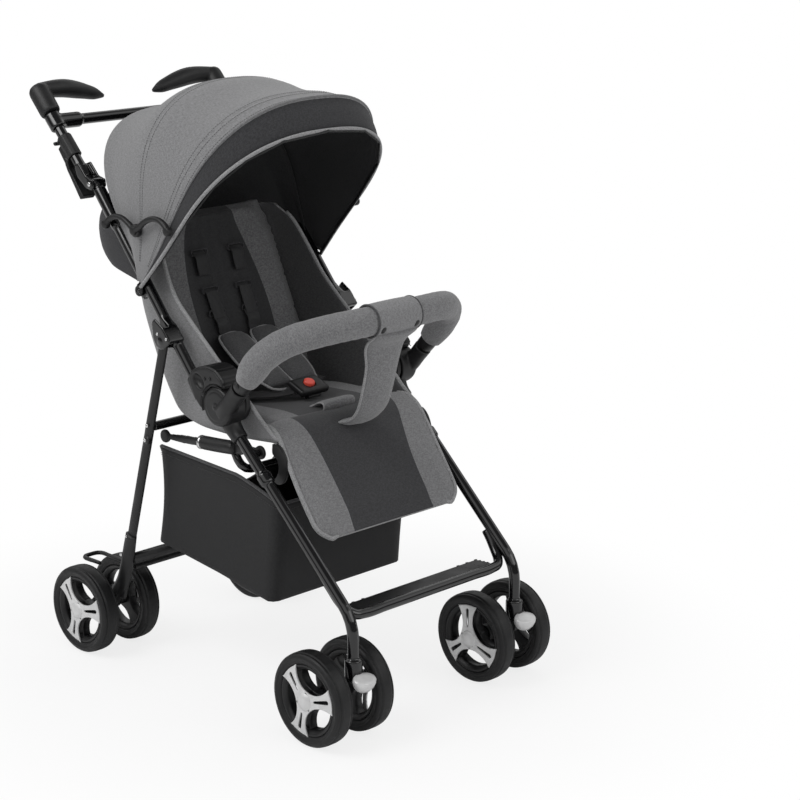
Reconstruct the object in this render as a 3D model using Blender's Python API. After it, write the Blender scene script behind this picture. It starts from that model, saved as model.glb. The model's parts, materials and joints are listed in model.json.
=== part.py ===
# Travel system stroller: a folding steel frame on eight wheels with seat, canopy, bumper bar and basket.
# Metres, +Z up, +X to the stroller's left, the front faces -Y, ground at z 0.
# Side-view points are pairs (y, z) measured from the front axle and moved back by ORIGIN_Y at the end.
import math

import bmesh
import bpy
from mathutils import Matrix, Vector

# Overall layout
ORIGIN_Y = 0.3137
GAP = 0.0003
SIDE_X = 0.184
TUBE_R = 0.0095
TUBE_SIDES = 10

# Wheels, eight alike in four pairs
WHEEL_R = 0.076
TYRE_W = 0.036
TYRE_SEAT_R = 0.0582
TWIN = 0.0876
WHEEL_SIDES = 18
HUB_R = 0.0115
HUB_W = 0.038
AXLE_R = 0.004
AXLE_CLEAR = 0.0004
WINDOW_R = 0.0115
TREAD_FLAT = WHEEL_R * (1.0 - math.cos(math.pi / WHEEL_SIDES))

# Casters
FRONT_X = 0.184
STEM_Y = -0.044
STEM_TOP_Z = 0.141
STEM_BOTTOM_Z = 0.108
STEM_R = 0.0145
PIN_R = 0.006
PIN_CLEAR = 0.0005

# Rear axle
REAR_X = 0.190
REAR_AXLE_Y = 0.565
BEAM_Y = 0.488
BEAM_Z = 0.173

# Fold linkage seen from the side
PIVOT_A = (0.236, 0.490)
PIVOT_B = (0.372, 0.572)
PIVOT_C = (0.421, 0.397)
PIVOT_D = (0.185, 0.417)
DISC_R = 0.0325
DISC_OUT = 0.2105
DISC_IN = 0.1735

# Front leg
KNEE = (-0.044, 0.2015)
KNEE_R = 0.07
LEG_TOP = (0.229, 0.459)

# Push and handle tubes
PUSH_LOW = (0.300, 0.498)
HINGE_H = (0.557, 0.804)
HANDLE_LOW = (0.580, 0.8095)
HANDLE_TOP = (0.706, 0.947)
HANDLE_TOP_X = 0.188
CROSS_SHARE = 0.63
GRIP_TIP_X = 0.057

# Rear leg, a flat oval tube
LEG_FOOT = (0.520, 0.085)
LEG_TOP_X = 0.1995
LEG_FOOT_X = 0.190
LEG_LONG = 0.010
LEG_FLAT = 0.006

# Canopy
PIVOT_P = (0.437, 0.644)
CANOPY_HALF = 0.190
CANOPY_REAR_HALF = 0.166
CLOTH = 0.004
STAY_X = 0.2028

# Seat
SEAT_HALF = 0.157
HINGE_Q = (0.385, 0.447)

# Bumper bar
ARM_X = 0.2035
ARM_ROOT = (0.222, 0.486)
ARM_TIP = (0.183, 0.528)
BAR_R = 0.0255

X_AXIS = Vector((1.0, 0.0, 0.0))
Z_AXIS = Vector((0.0, 0.0, 1.0))


# Scene and material helpers
for old in list(bpy.data.objects):
    bpy.data.objects.remove(old, do_unlink=True)


def make_material(name, colour, roughness, metallic):
    mat = bpy.data.materials.new(name)
    mat.use_nodes = True
    shader = mat.node_tree.nodes["Principled BSDF"]
    shader.inputs["Base Color"].default_value = (colour[0], colour[1], colour[2], 1.0)
    shader.inputs["Roughness"].default_value = roughness
    shader.inputs["Metallic"].default_value = metallic
    mat.diffuse_color = (colour[0], colour[1], colour[2], 1.0)
    return mat


MATERIALS = {
    "gloss_frame": make_material("gloss_frame", (0.015, 0.015, 0.017), 0.22, 0.6),
    "matte_frame": make_material("matte_frame", (0.025, 0.025, 0.028), 0.5, 0.4),
    "black_plastic": make_material("black_plastic", (0.018, 0.018, 0.019), 0.5, 0.0),
    "silver_plastic": make_material("silver_plastic", (0.55, 0.55, 0.56), 0.35, 0.5),
    "tyre_rubber": make_material("tyre_rubber", (0.02, 0.02, 0.02), 0.75, 0.0),
    "heather_fabric": make_material("heather_fabric", (0.2, 0.2, 0.21), 0.95, 0.0),
    "charcoal_fabric": make_material("charcoal_fabric", (0.035, 0.035, 0.038), 0.95, 0.0),
    "basket_fabric": make_material("basket_fabric", (0.02, 0.02, 0.022), 0.8, 0.0),
    "red_button": make_material("red_button", (0.75, 0.07, 0.04), 0.4, 0.0),
}


def side(x, point):
    return Vector((x, point[0], point[1]))


def lerp(a, b, t):
    return (a[0] + (b[0] - a[0]) * t, a[1] + (b[1] - a[1]) * t)


def unit(a, b):
    length = math.dist(a, b)
    return ((b[0] - a[0]) / length, (b[1] - a[1]) / length)


def along(a, b, distance):
    d = unit(a, b)
    return (a[0] + d[0] * distance, a[1] + d[1] * distance)


def polar(centre, radius, degrees):
    turn = math.radians(degrees)
    return (centre[0] + radius * math.cos(turn), centre[1] + radius * math.sin(turn))


def arc(centre, radius, start, end, steps):
    return [polar(centre, radius, start + (end - start) * i / steps) for i in range(steps + 1)]


# Body makers: each returns a bmesh, and unite() turns them into one solid
def loft(rings, closed=False):
    bm = bmesh.new()
    loops = [[bm.verts.new(p) for p in ring] for ring in rings]
    count = len(loops[0])
    pairs = list(zip(loops, loops[1:]))
    if closed:
        pairs.append((loops[-1], loops[0]))
    for a, b in pairs:
        for i in range(count):
            j = (i + 1) % count
            bm.faces.new((a[i], a[j], b[j], b[i]))
    if not closed:
        bm.faces.new(list(reversed(loops[0])))
        bm.faces.new(loops[-1])
    bmesh.ops.recalc_face_normals(bm, faces=bm.faces)
    return bm


def round_corners(points, radii, steps=5):
    path = [Vector(points[0])]
    for i in range(1, len(points) - 1):
        corner = Vector(points[i])
        before = (Vector(points[i - 1]) - corner).normalized()
        after = (Vector(points[i + 1]) - corner).normalized()
        radius = radii[i - 1] if isinstance(radii, (list, tuple)) else radii
        angle = before.angle(after)
        reach = radius / math.tan(angle / 2.0)
        middle = (before + after).normalized()
        centre = corner + middle * (radius / math.sin(angle / 2.0))
        start = (corner + before * reach - centre).normalized()
        end = (corner + after * reach - centre).normalized()
        for k in range(steps + 1):
            path.append(centre + start.slerp(end, k / steps).normalized() * radius)
    path.append(Vector(points[-1]))
    return path


def sweep(path, radius, sides=TUBE_SIDES, flat=None, first=X_AXIS):
    # A ring carried along the path; radius and flat are half sizes across and along the first direction
    path = [Vector(p) for p in path]
    count = len(path)
    rings = []
    across = Vector(first)
    for i, point in enumerate(path):
        if i == 0:
            tangent = path[1] - path[0]
        elif i == count - 1:
            tangent = path[-1] - path[-2]
        else:
            tangent = (path[i + 1] - point).normalized() + (point - path[i - 1]).normalized()
        tangent.normalize()
        across = (across - tangent * across.dot(tangent)).normalized()
        other = tangent.cross(across)
        ra = radius[i] if isinstance(radius, (list, tuple)) else radius
        rb = ra if flat is None else (flat[i] if isinstance(flat, (list, tuple)) else flat)
        ring = []
        for k in range(sides):
            turn = 2.0 * math.pi * (k + 0.5) / sides
            ring.append(point + across * (rb * math.cos(turn)) + other * (ra * math.sin(turn)))
        rings.append(ring)
    return loft(rings)


def prism(outline, x0, x1, bevel=0.0, steps=1):
    # An outline in the side view given depth along X
    bm = bmesh.new()
    face = bm.faces.new([bm.verts.new((x0, p[0], p[1])) for p in outline])
    made = bmesh.ops.extrude_face_region(bm, geom=[face])
    moved = [v for v in made["geom"] if isinstance(v, bmesh.types.BMVert)]
    bmesh.ops.translate(bm, verts=moved, vec=(x1 - x0, 0.0, 0.0))
    bmesh.ops.recalc_face_normals(bm, faces=bm.faces)
    if bevel > 0.0:
        rim = [e for e in bm.edges if abs(e.verts[0].co.x - e.verts[1].co.x) < 1e-6]
        bmesh.ops.bevel(bm, geom=rim, offset=bevel, segments=steps, affect='EDGES', profile=0.5)
    return bm


def turned(profile, centre, axis=X_AXIS, sides=16, closed=False, phase=0.5):
    # A profile of (distance along the axis, radius) spun about the axis
    axis = Vector(axis).normalized()
    ref = Z_AXIS if abs(axis.z) < 0.9 else Vector((0.0, 1.0, 0.0))
    u = (ref - axis * ref.dot(axis)).normalized()
    w = axis.cross(u)
    rings = []
    for station, radius in profile:
        base = Vector(centre) + axis * station
        ring = []
        for k in range(sides):
            turn = 2.0 * math.pi * (k + phase) / sides
            ring.append(base + u * (radius * math.cos(turn)) + w * (radius * math.sin(turn)))
        rings.append(ring)
    return loft(rings, closed=closed)


def rod(start, end, radius, sides=10, bevel=0.0):
    start = Vector(start)
    end = Vector(end)
    length = (end - start).length
    profile = [(0.0, radius), (length, radius)]
    if bevel > 0.0:
        profile = [(0.0, radius - bevel), (bevel, radius), (length - bevel, radius), (length, radius - bevel)]
    return turned(profile, start, end - start, sides)


def block(centre, size, bevel=0.0, turn=0.0, steps=1):
    # A box turned about X, its edges bevelled
    bm = bmesh.new()
    bmesh.ops.create_cube(bm, size=1.0)
    bmesh.ops.scale(bm, vec=Vector(size), verts=bm.verts)
    if bevel > 0.0:
        bmesh.ops.bevel(bm, geom=bm.edges[:], offset=bevel, segments=steps, affect='EDGES', profile=0.5)
    bmesh.ops.rotate(bm, cent=(0, 0, 0), matrix=Matrix.Rotation(math.radians(turn), 3, 'X'), verts=bm.verts)
    bmesh.ops.translate(bm, vec=Vector(centre), verts=bm.verts)
    return bm


def as_object(bm, name="work"):
    mesh = bpy.data.meshes.new(name)
    bm.to_mesh(mesh)
    bm.free()
    obj = bpy.data.objects.new(name, mesh)
    bpy.context.scene.collection.objects.link(obj)
    return obj


def combine(target, others, operation):
    for other in others:
        mod = target.modifiers.new("cut", 'BOOLEAN')
        mod.operation = operation
        mod.solver = 'EXACT'
        mod.object = other
    graph = bpy.context.evaluated_depsgraph_get()
    mesh = bpy.data.meshes.new_from_object(target.evaluated_get(graph))
    target.modifiers.clear()
    target.data = mesh
    for other in others:
        bpy.data.objects.remove(other, do_unlink=True)
    return target


def unite(parts, cutters=()):
    base = as_object(parts[0])
    if len(parts) > 1:
        combine(base, [as_object(p) for p in parts[1:]], 'UNION')
    if cutters:
        combine(base, [as_object(c) for c in cutters], 'DIFFERENCE')
    return base


def mirrored(obj):
    # The same solid on the other side of the stroller
    bm = bmesh.new()
    bm.from_mesh(obj.data)
    bmesh.ops.scale(bm, vec=(-1.0, 1.0, 1.0), verts=bm.verts)
    bmesh.ops.reverse_faces(bm, faces=bm.faces)
    return as_object(bm)


def finish(obj, name, material, pivot=(0.0, 0.0, 0.0), smooth=40.0):
    # Names the solid, welds stray points, puts its origin on its pivot and its place in the row
    bm = bmesh.new()
    bm.from_mesh(obj.data)
    bmesh.ops.remove_doubles(bm, verts=bm.verts, dist=0.00002)
    bmesh.ops.dissolve_degenerate(bm, edges=bm.edges, dist=0.00002)
    bmesh.ops.translate(bm, verts=bm.verts, vec=-Vector(pivot))
    bm.to_mesh(obj.data)
    bm.free()
    obj.data.materials.clear()
    obj.data.materials.append(MATERIALS[material])
    obj.data.shade_smooth()
    obj.data.set_sharp_from_angle(angle=math.radians(smooth))
    obj.name = name
    obj.data.name = name
    obj.location = Vector(pivot) - Vector((0.0, ORIGIN_Y, TREAD_FLAT))
    return obj


def both_sides(obj, stem, material, pivot=(0.0, 0.0, 0.0)):
    # The solid was built on the stroller's right, at negative x
    twin = mirrored(obj)
    finish(obj, stem + "_right", material, pivot)
    finish(twin, stem + "_left", material, (-pivot[0], pivot[1], pivot[2]))


# Wheels: a tyre round a dished rim with three windows, spinning on a fixed axle
def build_wheel(stem, centre):
    half = TYRE_W / 2.0
    seat = TYRE_SEAT_R
    tread = [
        (-half * 0.55, WHEEL_R), (half * 0.55, WHEEL_R), (half, WHEEL_R - 0.007),
        (half * 0.72, seat), (-half * 0.72, seat), (-half, WHEEL_R - 0.007),
    ]
    tyre = as_object(turned(tread, centre, sides=WHEEL_SIDES, closed=True))
    finish(tyre, "tyre_" + stem, "tyre_rubber", centre)
    bore = AXLE_R + AXLE_CLEAR
    hub = HUB_W / 2.0
    lip = half * 0.72
    profile = [
        (-hub, bore), (-hub, HUB_R), (-0.005, HUB_R + 0.003), (-0.005, seat - 0.009),
        (-lip, seat - GAP), (lip, seat - GAP), (0.005, seat - 0.009),
        (0.005, HUB_R + 0.003), (hub, HUB_R), (hub, bore),
    ]
    windows = []
    middle = (HUB_R + 0.003 + seat - 0.009) / 2.0
    for k in range(3):
        spot = polar((centre[1], centre[2]), middle, 30.0 + 120.0 * k)
        windows.append(rod((centre[0] - 0.02, spot[0], spot[1]), (centre[0] + 0.02, spot[0], spot[1]),
                           WINDOW_R, 6))
    rim = unite([turned(profile, centre, sides=WHEEL_SIDES, closed=True)], windows)
    finish(rim, "rim_" + stem, "black_plastic", centre)


for label, sign in (("right", -1.0), ("left", 1.0)):
    for place, offset in (("outer", TWIN / 2.0), ("inner", -TWIN / 2.0)):
        build_wheel("front_" + label + "_" + place, (sign * (FRONT_X + offset), 0.0, WHEEL_R))
        build_wheel("rear_" + label + "_" + place, (sign * (REAR_X + offset), REAR_AXLE_Y, WHEEL_R))


# Half width of a fork or foot where it meets the hubs, and the axle with its end caps
BOSS_HALF = TWIN / 2.0 - HUB_W / 2.0 - GAP
AXLE_END = TWIN / 2.0 + HUB_W / 2.0 + GAP


def axle_parts(x, y):
    return [
        rod((x - AXLE_END - 0.001, y, WHEEL_R), (x + AXLE_END + 0.001, y, WHEEL_R), AXLE_R, 8),
        rod((x - AXLE_END - 0.003, y, WHEEL_R), (x - AXLE_END, y, WHEEL_R), 0.0075, 8),
        rod((x + AXLE_END, y, WHEEL_R), (x + AXLE_END + 0.003, y, WHEEL_R), 0.0075, 8),
        rod((x - BOSS_HALF, y, WHEEL_R), (x + BOSS_HALF, y, WHEEL_R), 0.0145, 10),
    ]


# Caster fork: a pin up into the housing, a curved arm trailing back to the axle
CASTER = (-FRONT_X, STEM_Y, STEM_BOTTOM_Z)
ARM_OUTLINE = [
    (STEM_Y - 0.013, 0.098), (STEM_Y - 0.011, 0.0905), (STEM_Y + 0.006, 0.0845), (STEM_Y + 0.024, 0.0735),
    (-0.011, 0.0655), (0.006, 0.0640), (0.0125, 0.0720), (0.010, 0.0850), (-0.004, 0.0950),
    (STEM_Y + 0.016, STEM_BOTTOM_Z - 0.003), (STEM_Y - 0.010, STEM_BOTTOM_Z - 0.003),
]
fork = unite([
    prism(ARM_OUTLINE, -FRONT_X - 0.0115, -FRONT_X + 0.0115),
    rod((-FRONT_X, STEM_Y, 0.093), (-FRONT_X, STEM_Y, STEM_BOTTOM_Z - GAP), STEM_R - 0.001, 12),
    rod((-FRONT_X, STEM_Y, 0.100), (-FRONT_X, STEM_Y, STEM_TOP_Z - 0.008), PIN_R, 12),
] + axle_parts(-FRONT_X, 0.0))
both_sides(fork, "caster_fork", "black_plastic", CASTER)

# Swivel lock: a half-round lever on a pivot in front of each fork
LOCK_PIVOT = (STEM_Y - 0.0185, 0.0985)
lever = unite([
    prism([LOCK_PIVOT] + arc(polar(LOCK_PIVOT, 0.008, 165.0), 0.0185, 100.0, 262.0, 8),
          -FRONT_X - 0.0095, -FRONT_X + 0.0095, 0.0015),
    rod((-FRONT_X - 0.0115, LOCK_PIVOT[0], LOCK_PIVOT[1]), (-FRONT_X + 0.0115, LOCK_PIVOT[0], LOCK_PIVOT[1]),
        0.0042, 12),
])
both_sides(lever, "swivel_lock", "silver_plastic", side(-FRONT_X, LOCK_PIVOT))

# Front leg: one bent tube from the fold joint down into the caster housing, with collar and rail bracket
COLLAR = lerp(KNEE, LEG_TOP, 0.712)
LEG_END = along(LEG_TOP, KNEE, 0.0096)
leg_path = round_corners([(-SIDE_X, KNEE[0], STEM_TOP_Z - 0.004), side(-SIDE_X, KNEE), side(-SIDE_X, LEG_END)],
                         KNEE_R, 4)
front_leg = unite(
    [
        sweep(leg_path, TUBE_R),
        rod((-FRONT_X, STEM_Y, STEM_BOTTOM_Z), (-FRONT_X, STEM_Y, STEM_TOP_Z), STEM_R, 12, 0.0015),
        rod(side(-SIDE_X, along(COLLAR, LEG_TOP, -0.009)), side(-SIDE_X, along(COLLAR, LEG_TOP, 0.009)),
            TUBE_R + 0.0028, 12),
        rod((-SIDE_X + 0.0165, PIVOT_D[0], PIVOT_D[1]), (-SIDE_X, PIVOT_D[0], PIVOT_D[1]), 0.0065, 12),
    ],
    [rod((-FRONT_X, STEM_Y, STEM_BOTTOM_Z - 0.01), (-FRONT_X, STEM_Y, STEM_TOP_Z - 0.007),
         PIN_R + PIN_CLEAR, 12)],
)
both_sides(front_leg, "front_leg", "gloss_frame")

# Footrest: a U tube between the front legs carrying a moulded board with oval grips
FOOT_X = 0.1685
FOOT_Z = 0.201
foot_tube = round_corners([
    (-FOOT_X, 0.016, 0.232), (-FOOT_X, -0.028, FOOT_Z), (FOOT_X, -0.028, FOOT_Z), (FOOT_X, 0.016, 0.232),
], 0.014, 3)
plate = [(-0.006, 0.209), (0.006, 0.204), (0.022, 0.222), (0.027, 0.236), (0.019, 0.243), (0.004, 0.233)]
board = prism([(-0.030, 0.1975), (0.010, 0.1945), (0.0125, 0.197), (0.0115, 0.2005), (-0.022, 0.2045),
               (-0.032, 0.2045)], -FOOT_X + 0.016, FOOT_X - 0.016, 0.0)
grips = []
for edge in (-1.0, 1.0):
    for k in range(4):
        grips.append(block((edge * (0.072 + 0.016 * k), -0.006, 0.2035), (0.009, 0.022, 0.004), 0.0, -5.0))
footrest = unite([sweep(foot_tube, 0.0085, 10, first=Vector((0, -0.5, 0.8))), board] + grips + [
    prism(plate, -FOOT_X - 0.0055, -FOOT_X + 0.003, 0.0),
    prism(plate, FOOT_X - 0.003, FOOT_X + 0.0055, 0.0),
])
finish(footrest, "footrest", "black_plastic")

# Inner face of the round cap, outer face of the plate that turns against it
PLATE_OUT = DISC_OUT - 0.0135 - 0.0005

# Fold joint, front half: the round cap with its centre stud, the neck of the leg and the bumper socket arm
disc_face = DISC_OUT
cap = turned([(0.0, 0.0295), (0.002, DISC_R), (0.0135, DISC_R), (0.0135, 0.004)],
             (-disc_face, PIVOT_A[0], PIVOT_A[1]), X_AXIS, 16)
leg_dir = unit(LEG_TOP, KNEE)
leg_side = (-leg_dir[1], leg_dir[0])


def near_leg(t, o):
    return (PIVOT_A[0] + leg_dir[0] * t + leg_side[0] * o, PIVOT_A[1] + leg_dir[1] * t + leg_side[1] * o)


neck_edge = [near_leg(0.045, 0.0305), near_leg(0.056, 0.0300), near_leg(0.056, 0.0055), near_leg(0.042, 0.0020)]
arm_dir = unit(ARM_ROOT, ARM_TIP)
arm_axis = Vector((0.0, arm_dir[0], arm_dir[1]))
arm_start = side(-ARM_X, ARM_ROOT)
arm_end = side(-ARM_X, ARM_TIP)
socket = sweep([arm_start, arm_start.lerp(arm_end, 0.5), arm_end], [0.0145, 0.0125, 0.0112], 12,
               [0.0064, 0.0068, 0.0112])
neck = prism(arc(PIVOT_A, DISC_R + 0.0012, 214.0, 262.0, 5) + neck_edge, -DISC_OUT + 0.0020, -DISC_IN)
shoulder = prism(arc(PIVOT_A, 0.024, 208.0, 266.0, 3) + neck_edge, -DISC_OUT + 0.0012, -PLATE_OUT - 0.0012)
spigot = rod(arm_end - arm_axis * 0.003, arm_end + arm_axis * 0.045, 0.0068, 10)
disc = unite([
    cap, neck, shoulder, socket, spigot,
    rod((-disc_face - 0.0012, PIVOT_A[0], PIVOT_A[1]), (-disc_face + 0.004, PIVOT_A[0], PIVOT_A[1]), 0.006, 14),
    rod((-disc_face + 0.01, PIVOT_A[0], PIVOT_A[1]), (-DISC_IN + 0.002, PIVOT_A[0], PIVOT_A[1]), 0.009, 12),
], [
    sweep([side(-SIDE_X, along(LEG_END, KNEE, -GAP)), side(-SIDE_X, along(LEG_END, KNEE, 0.03))], TUBE_R + GAP),
])
both_sides(disc, "fold_disc", "black_plastic")

# Fold joint, rear half: the inner plate round the pin, the hood over the cap and the sleeve of the push tube
HOOD_R = DISC_R + 0.0006
push_dir = unit(PUSH_LOW, HINGE_H)
sleeve_top = along(PUSH_LOW, HINGE_H, 0.052)
hood = prism(arc(PIVOT_A, HOOD_R, 112.0, 24.0, 8) + [
    polar(PIVOT_A, 0.052, 17.0), along(PUSH_LOW, HINGE_H, -0.001), (PUSH_LOW[0] + 0.0115, PUSH_LOW[1] - 0.0055),
    (sleeve_top[0] + 0.0115, sleeve_top[1] - 0.0095), (sleeve_top[0] - 0.0100, sleeve_top[1] + 0.0090),
    polar(PIVOT_A, 0.070, 48.0), polar(PIVOT_A, 0.0475, 68.0), polar(PIVOT_A, 0.0425, 92.0),
    polar(PIVOT_A, 0.0385, 112.0),
], -DISC_OUT + 0.0015, -DISC_IN, 0.0)
hood_solid = unite([
    hood,
    rod(side(-DISC_OUT - 0.0, polar(PIVOT_A, 0.0435, 60.0)), side(-DISC_OUT + 0.004, polar(PIVOT_A, 0.0435, 60.0)),
        0.0042, 8),
    rod(side(-PLATE_OUT, PIVOT_A), side(-DISC_IN - 0.0003, PIVOT_A), DISC_R - 0.001, 16),
    prism([polar(PIVOT_A, 0.020, 107.0), polar(PIVOT_A, 0.0355, 107.0), polar(PIVOT_A, 0.0375, 60.0),
           polar(PIVOT_A, 0.0365, 29.0), polar(PIVOT_A, 0.020, 29.0)], -PLATE_OUT + 0.0006, -DISC_IN - 0.0006, 0.0),
    block(side(-DISC_OUT + 0.003, polar(PIVOT_A, 0.053, 44.0)), (0.006, 0.011, 0.008), 0.001, 50.0),
], [
    rod(side(-PLATE_OUT - 0.02, PIVOT_A), side(-DISC_IN + 0.02, PIVOT_A), 0.009 + PIN_CLEAR + GAP, 12),
    sweep([side(-SIDE_X, along(PUSH_LOW, HINGE_H, 0.006)), side(-SIDE_X, along(PUSH_LOW, HINGE_H, 0.08))],
          TUBE_R + GAP),
    block(side(-DISC_OUT + 0.001, polar(PIVOT_A, 0.068, 27.0)), (0.0045, 0.019, 0.010), 0.0018, 50.0),
])
both_sides(hood_solid, "fold_housing", "black_plastic", side(-SIDE_X, PIVOT_A))

# Push tube with the clevis of the rear leg, the canopy clip and the hinge head
push_start = along(PUSH_LOW, HINGE_H, 0.006 + GAP)
clevis = [(0.3534, 0.5693), (0.362, 0.561), (0.372, 0.5585), (0.383, 0.5625), (0.3905, 0.574),
          (0.3935, 0.600), (0.3855, 0.6085), (0.3649, 0.5962), (0.3469, 0.5748)]
strap = [(0.3534, 0.5693), (0.3714, 0.5907), (0.3649, 0.5962), (0.3469, 0.5748)]
push_tube = unite([
    sweep([side(-SIDE_X, push_start), side(-SIDE_X, along(HINGE_H, PUSH_LOW, -0.004))], TUBE_R),
    rod(side(-SIDE_X, along(HINGE_H, PUSH_LOW, 0.085)), side(-SIDE_X, along(HINGE_H, PUSH_LOW, 0.012)),
        TUBE_R + 0.0016, 10),
    rod(side(-SIDE_X - 0.0098, HINGE_H), side(-SIDE_X + 0.0098, HINGE_H), 0.0095, 14),
    prism(clevis, -LEG_TOP_X - 0.0095, -LEG_TOP_X - 0.0060),
    prism(clevis, -LEG_TOP_X + 0.0060, -SIDE_X + 0.0065),
    prism(strap, -LEG_TOP_X - 0.0090, -SIDE_X + 0.0060),
    rod(side(-LEG_TOP_X - 0.0110, PIVOT_B), side(-SIDE_X + 0.001, PIVOT_B), 0.0048, 10),
    rod(side(-SIDE_X, along(PIVOT_P, HINGE_H, -0.013)), side(-SIDE_X, along(PIVOT_P, HINGE_H, 0.013)), 0.0107, 10),
    rod(side(-0.1990, PIVOT_P), side(-SIDE_X, PIVOT_P), 0.0042, 12),
])
both_sides(push_tube, "push_tube", "gloss_frame")

# Handle tube: lower end in a cheeked hinge head, upper end in the moulded sleeve of the grip
handle_start = side(-SIDE_X, HANDLE_LOW)
handle_end = side(-HANDLE_TOP_X, HANDLE_TOP)
handle_dir = (handle_end - handle_start).normalized()
cheek = [(0.553, 0.794), (0.5665, 0.7955), (0.590, 0.812), (0.5975, 0.832), (0.586, 0.836), (0.566, 0.8155),
         (0.549, 0.8115), (0.547, 0.800)]
T_MID = handle_start.lerp(handle_end, CROSS_SHARE)
handle_tube = unite([
    sweep([handle_start, handle_start.lerp(handle_end, 0.5), handle_end - handle_dir * 0.006], TUBE_R),
    rod(handle_start, handle_start + handle_dir * 0.022, 0.0125, 10),
    prism(cheek, -SIDE_X - 0.0140, -SIDE_X - 0.0102, 0.0),
    prism(cheek, -SIDE_X + 0.0102, -SIDE_X + 0.0140, 0.0),
    rod(side(-SIDE_X - 0.0150, HINGE_H), side(-SIDE_X - 0.0105, HINGE_H), 0.0062, 10),
    rod(side(-SIDE_X + 0.0105, HINGE_H), side(-SIDE_X + 0.0145, HINGE_H), 0.0062, 10),
])
both_sides(handle_tube, "handle_tube", "gloss_frame", side(-SIDE_X, HINGE_H))

# Grip: the sleeve on the tube's end and an arched grip that sprouts inward and droops to a rounded tip
sleeve_low = handle_end - handle_dir * 0.040
grip_path = [
    (-HANDLE_TOP_X + 0.002, 0.700, 0.948), (-0.170, 0.693, 0.9555), (-0.148, 0.686, 0.9555),
    (-0.124, 0.684, 0.9505), (-0.100, 0.686, 0.943), (-0.078, 0.691, 0.935), (-GRIP_TIP_X, 0.698, 0.927),
]
grip_solid = unite([
    rod(sleeve_low, handle_end + handle_dir * 0.002, 0.0150, 12, 0.003),
    rod(sleeve_low - handle_dir * 0.004, sleeve_low + handle_dir * 0.003, 0.0163, 12),
    sweep(grip_path, [0.0135, 0.0160, 0.0172, 0.0170, 0.0160, 0.0138, 0.0075], 12,
          [0.0130, 0.0145, 0.0152, 0.0150, 0.0142, 0.0125, 0.0065], first=Vector((0, 1, 0))),
], [
    sweep([sleeve_low - handle_dir * 0.02, handle_end - handle_dir * 0.0055], TUBE_R + GAP),
])
both_sides(grip_solid, "grip", "black_plastic")

# Crossbar between two T-connectors clamped on the handle tubes
clamp_a = T_MID - handle_dir * 0.014
clamp_b = T_MID + handle_dir * 0.014
bar_end = -0.137
t_half = unite([
    rod(clamp_a, clamp_b, 0.0138, 12),
    rod((T_MID.x + 0.004, T_MID.y, T_MID.z), (bar_end, T_MID.y, T_MID.z), 0.0132, 12, 0.0015),
], [sweep([clamp_a - handle_dir * 0.02, clamp_b + handle_dir * 0.02], TUBE_R + GAP)])
t_other = mirrored(t_half)
bar = as_object(rod((bar_end - 0.012, T_MID.y, T_MID.z), (-bar_end + 0.012, T_MID.y, T_MID.z), TUBE_R, TUBE_SIDES))
crossbar = combine(bar, [t_half, t_other], 'UNION')
finish(crossbar, "handle_crossbar", "gloss_frame")

# Lock sleeve: a sliding channel behind the hinge with two finger tabs
back = Vector((0.0, handle_dir.z, -handle_dir.y)).normalized()
slide_a = handle_start + handle_dir * 0.045
slide_b = handle_start + handle_dir * 0.086
lock = unite([
    rod(slide_a, slide_b, 0.0128, 10),
    loft([
        [slide_b - handle_dir * 0.012 + X_AXIS * sx * 0.0110 + back * sb for sx, sb in
         ((-1, 0.009), (1, 0.009), (1, 0.0158), (-1, 0.0158))],
        [slide_a + X_AXIS * sx * 0.0118 + back * sb for sx, sb in
         ((-1, 0.0100), (1, 0.0100), (1, 0.0180), (-1, 0.0180))],
        [slide_a - handle_dir * 0.012 + X_AXIS * sx * 0.0125 + back * sb for sx, sb in
         ((-1, 0.0145), (1, 0.0145), (1, 0.0205), (-1, 0.0205))],
        [slide_a - handle_dir * 0.067 + X_AXIS * sx * 0.0138 + back * sb for sx, sb in
         ((-1, 0.0160), (1, 0.0160), (1, 0.0265), (-1, 0.0265))],
    ]),
    block(slide_b - handle_dir * 0.004 + back * 0.012, (0.034, 0.007, 0.005), 0.0015, 47.5),
], [sweep([slide_a - handle_dir * 0.03, slide_b + handle_dir * 0.03], TUBE_R + GAP)])
both_sides(lock, "lock_sleeve", "black_plastic")

# Rear leg: a flat oval tube with rivets at its pivots
leg_top = Vector((-LEG_TOP_X, PIVOT_B[0], PIVOT_B[1]))
leg_foot = Vector((-LEG_FOOT_X, LEG_FOOT[0], LEG_FOOT[1] + 0.012))
leg_line = (leg_foot - leg_top).normalized()
rivet_c = side(-LEG_TOP_X + 0.002, PIVOT_C)
rear_leg = unite([
    sweep([leg_top - leg_line * 0.004, leg_top + leg_line * 0.006, leg_top + leg_line * 0.25, leg_foot],
          [0.0075, LEG_LONG, LEG_LONG, LEG_LONG], 12, [LEG_FLAT - 0.0005] * 2 + [LEG_FLAT] * 2),
    rod(rivet_c - X_AXIS * 0.0072, rivet_c + X_AXIS * 0.001, 0.0058, 10),
    rod(side(-LEG_FOOT_X - 0.0085, (0.4935, 0.197)), side(-LEG_FOOT_X, (0.4935, 0.197)), 0.0048, 8),
], [rod(side(-0.22, PIVOT_B), side(-0.18, PIVOT_B), 0.0048 + GAP, 10)])
both_sides(rear_leg, "rear_leg", "matte_frame")

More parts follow.
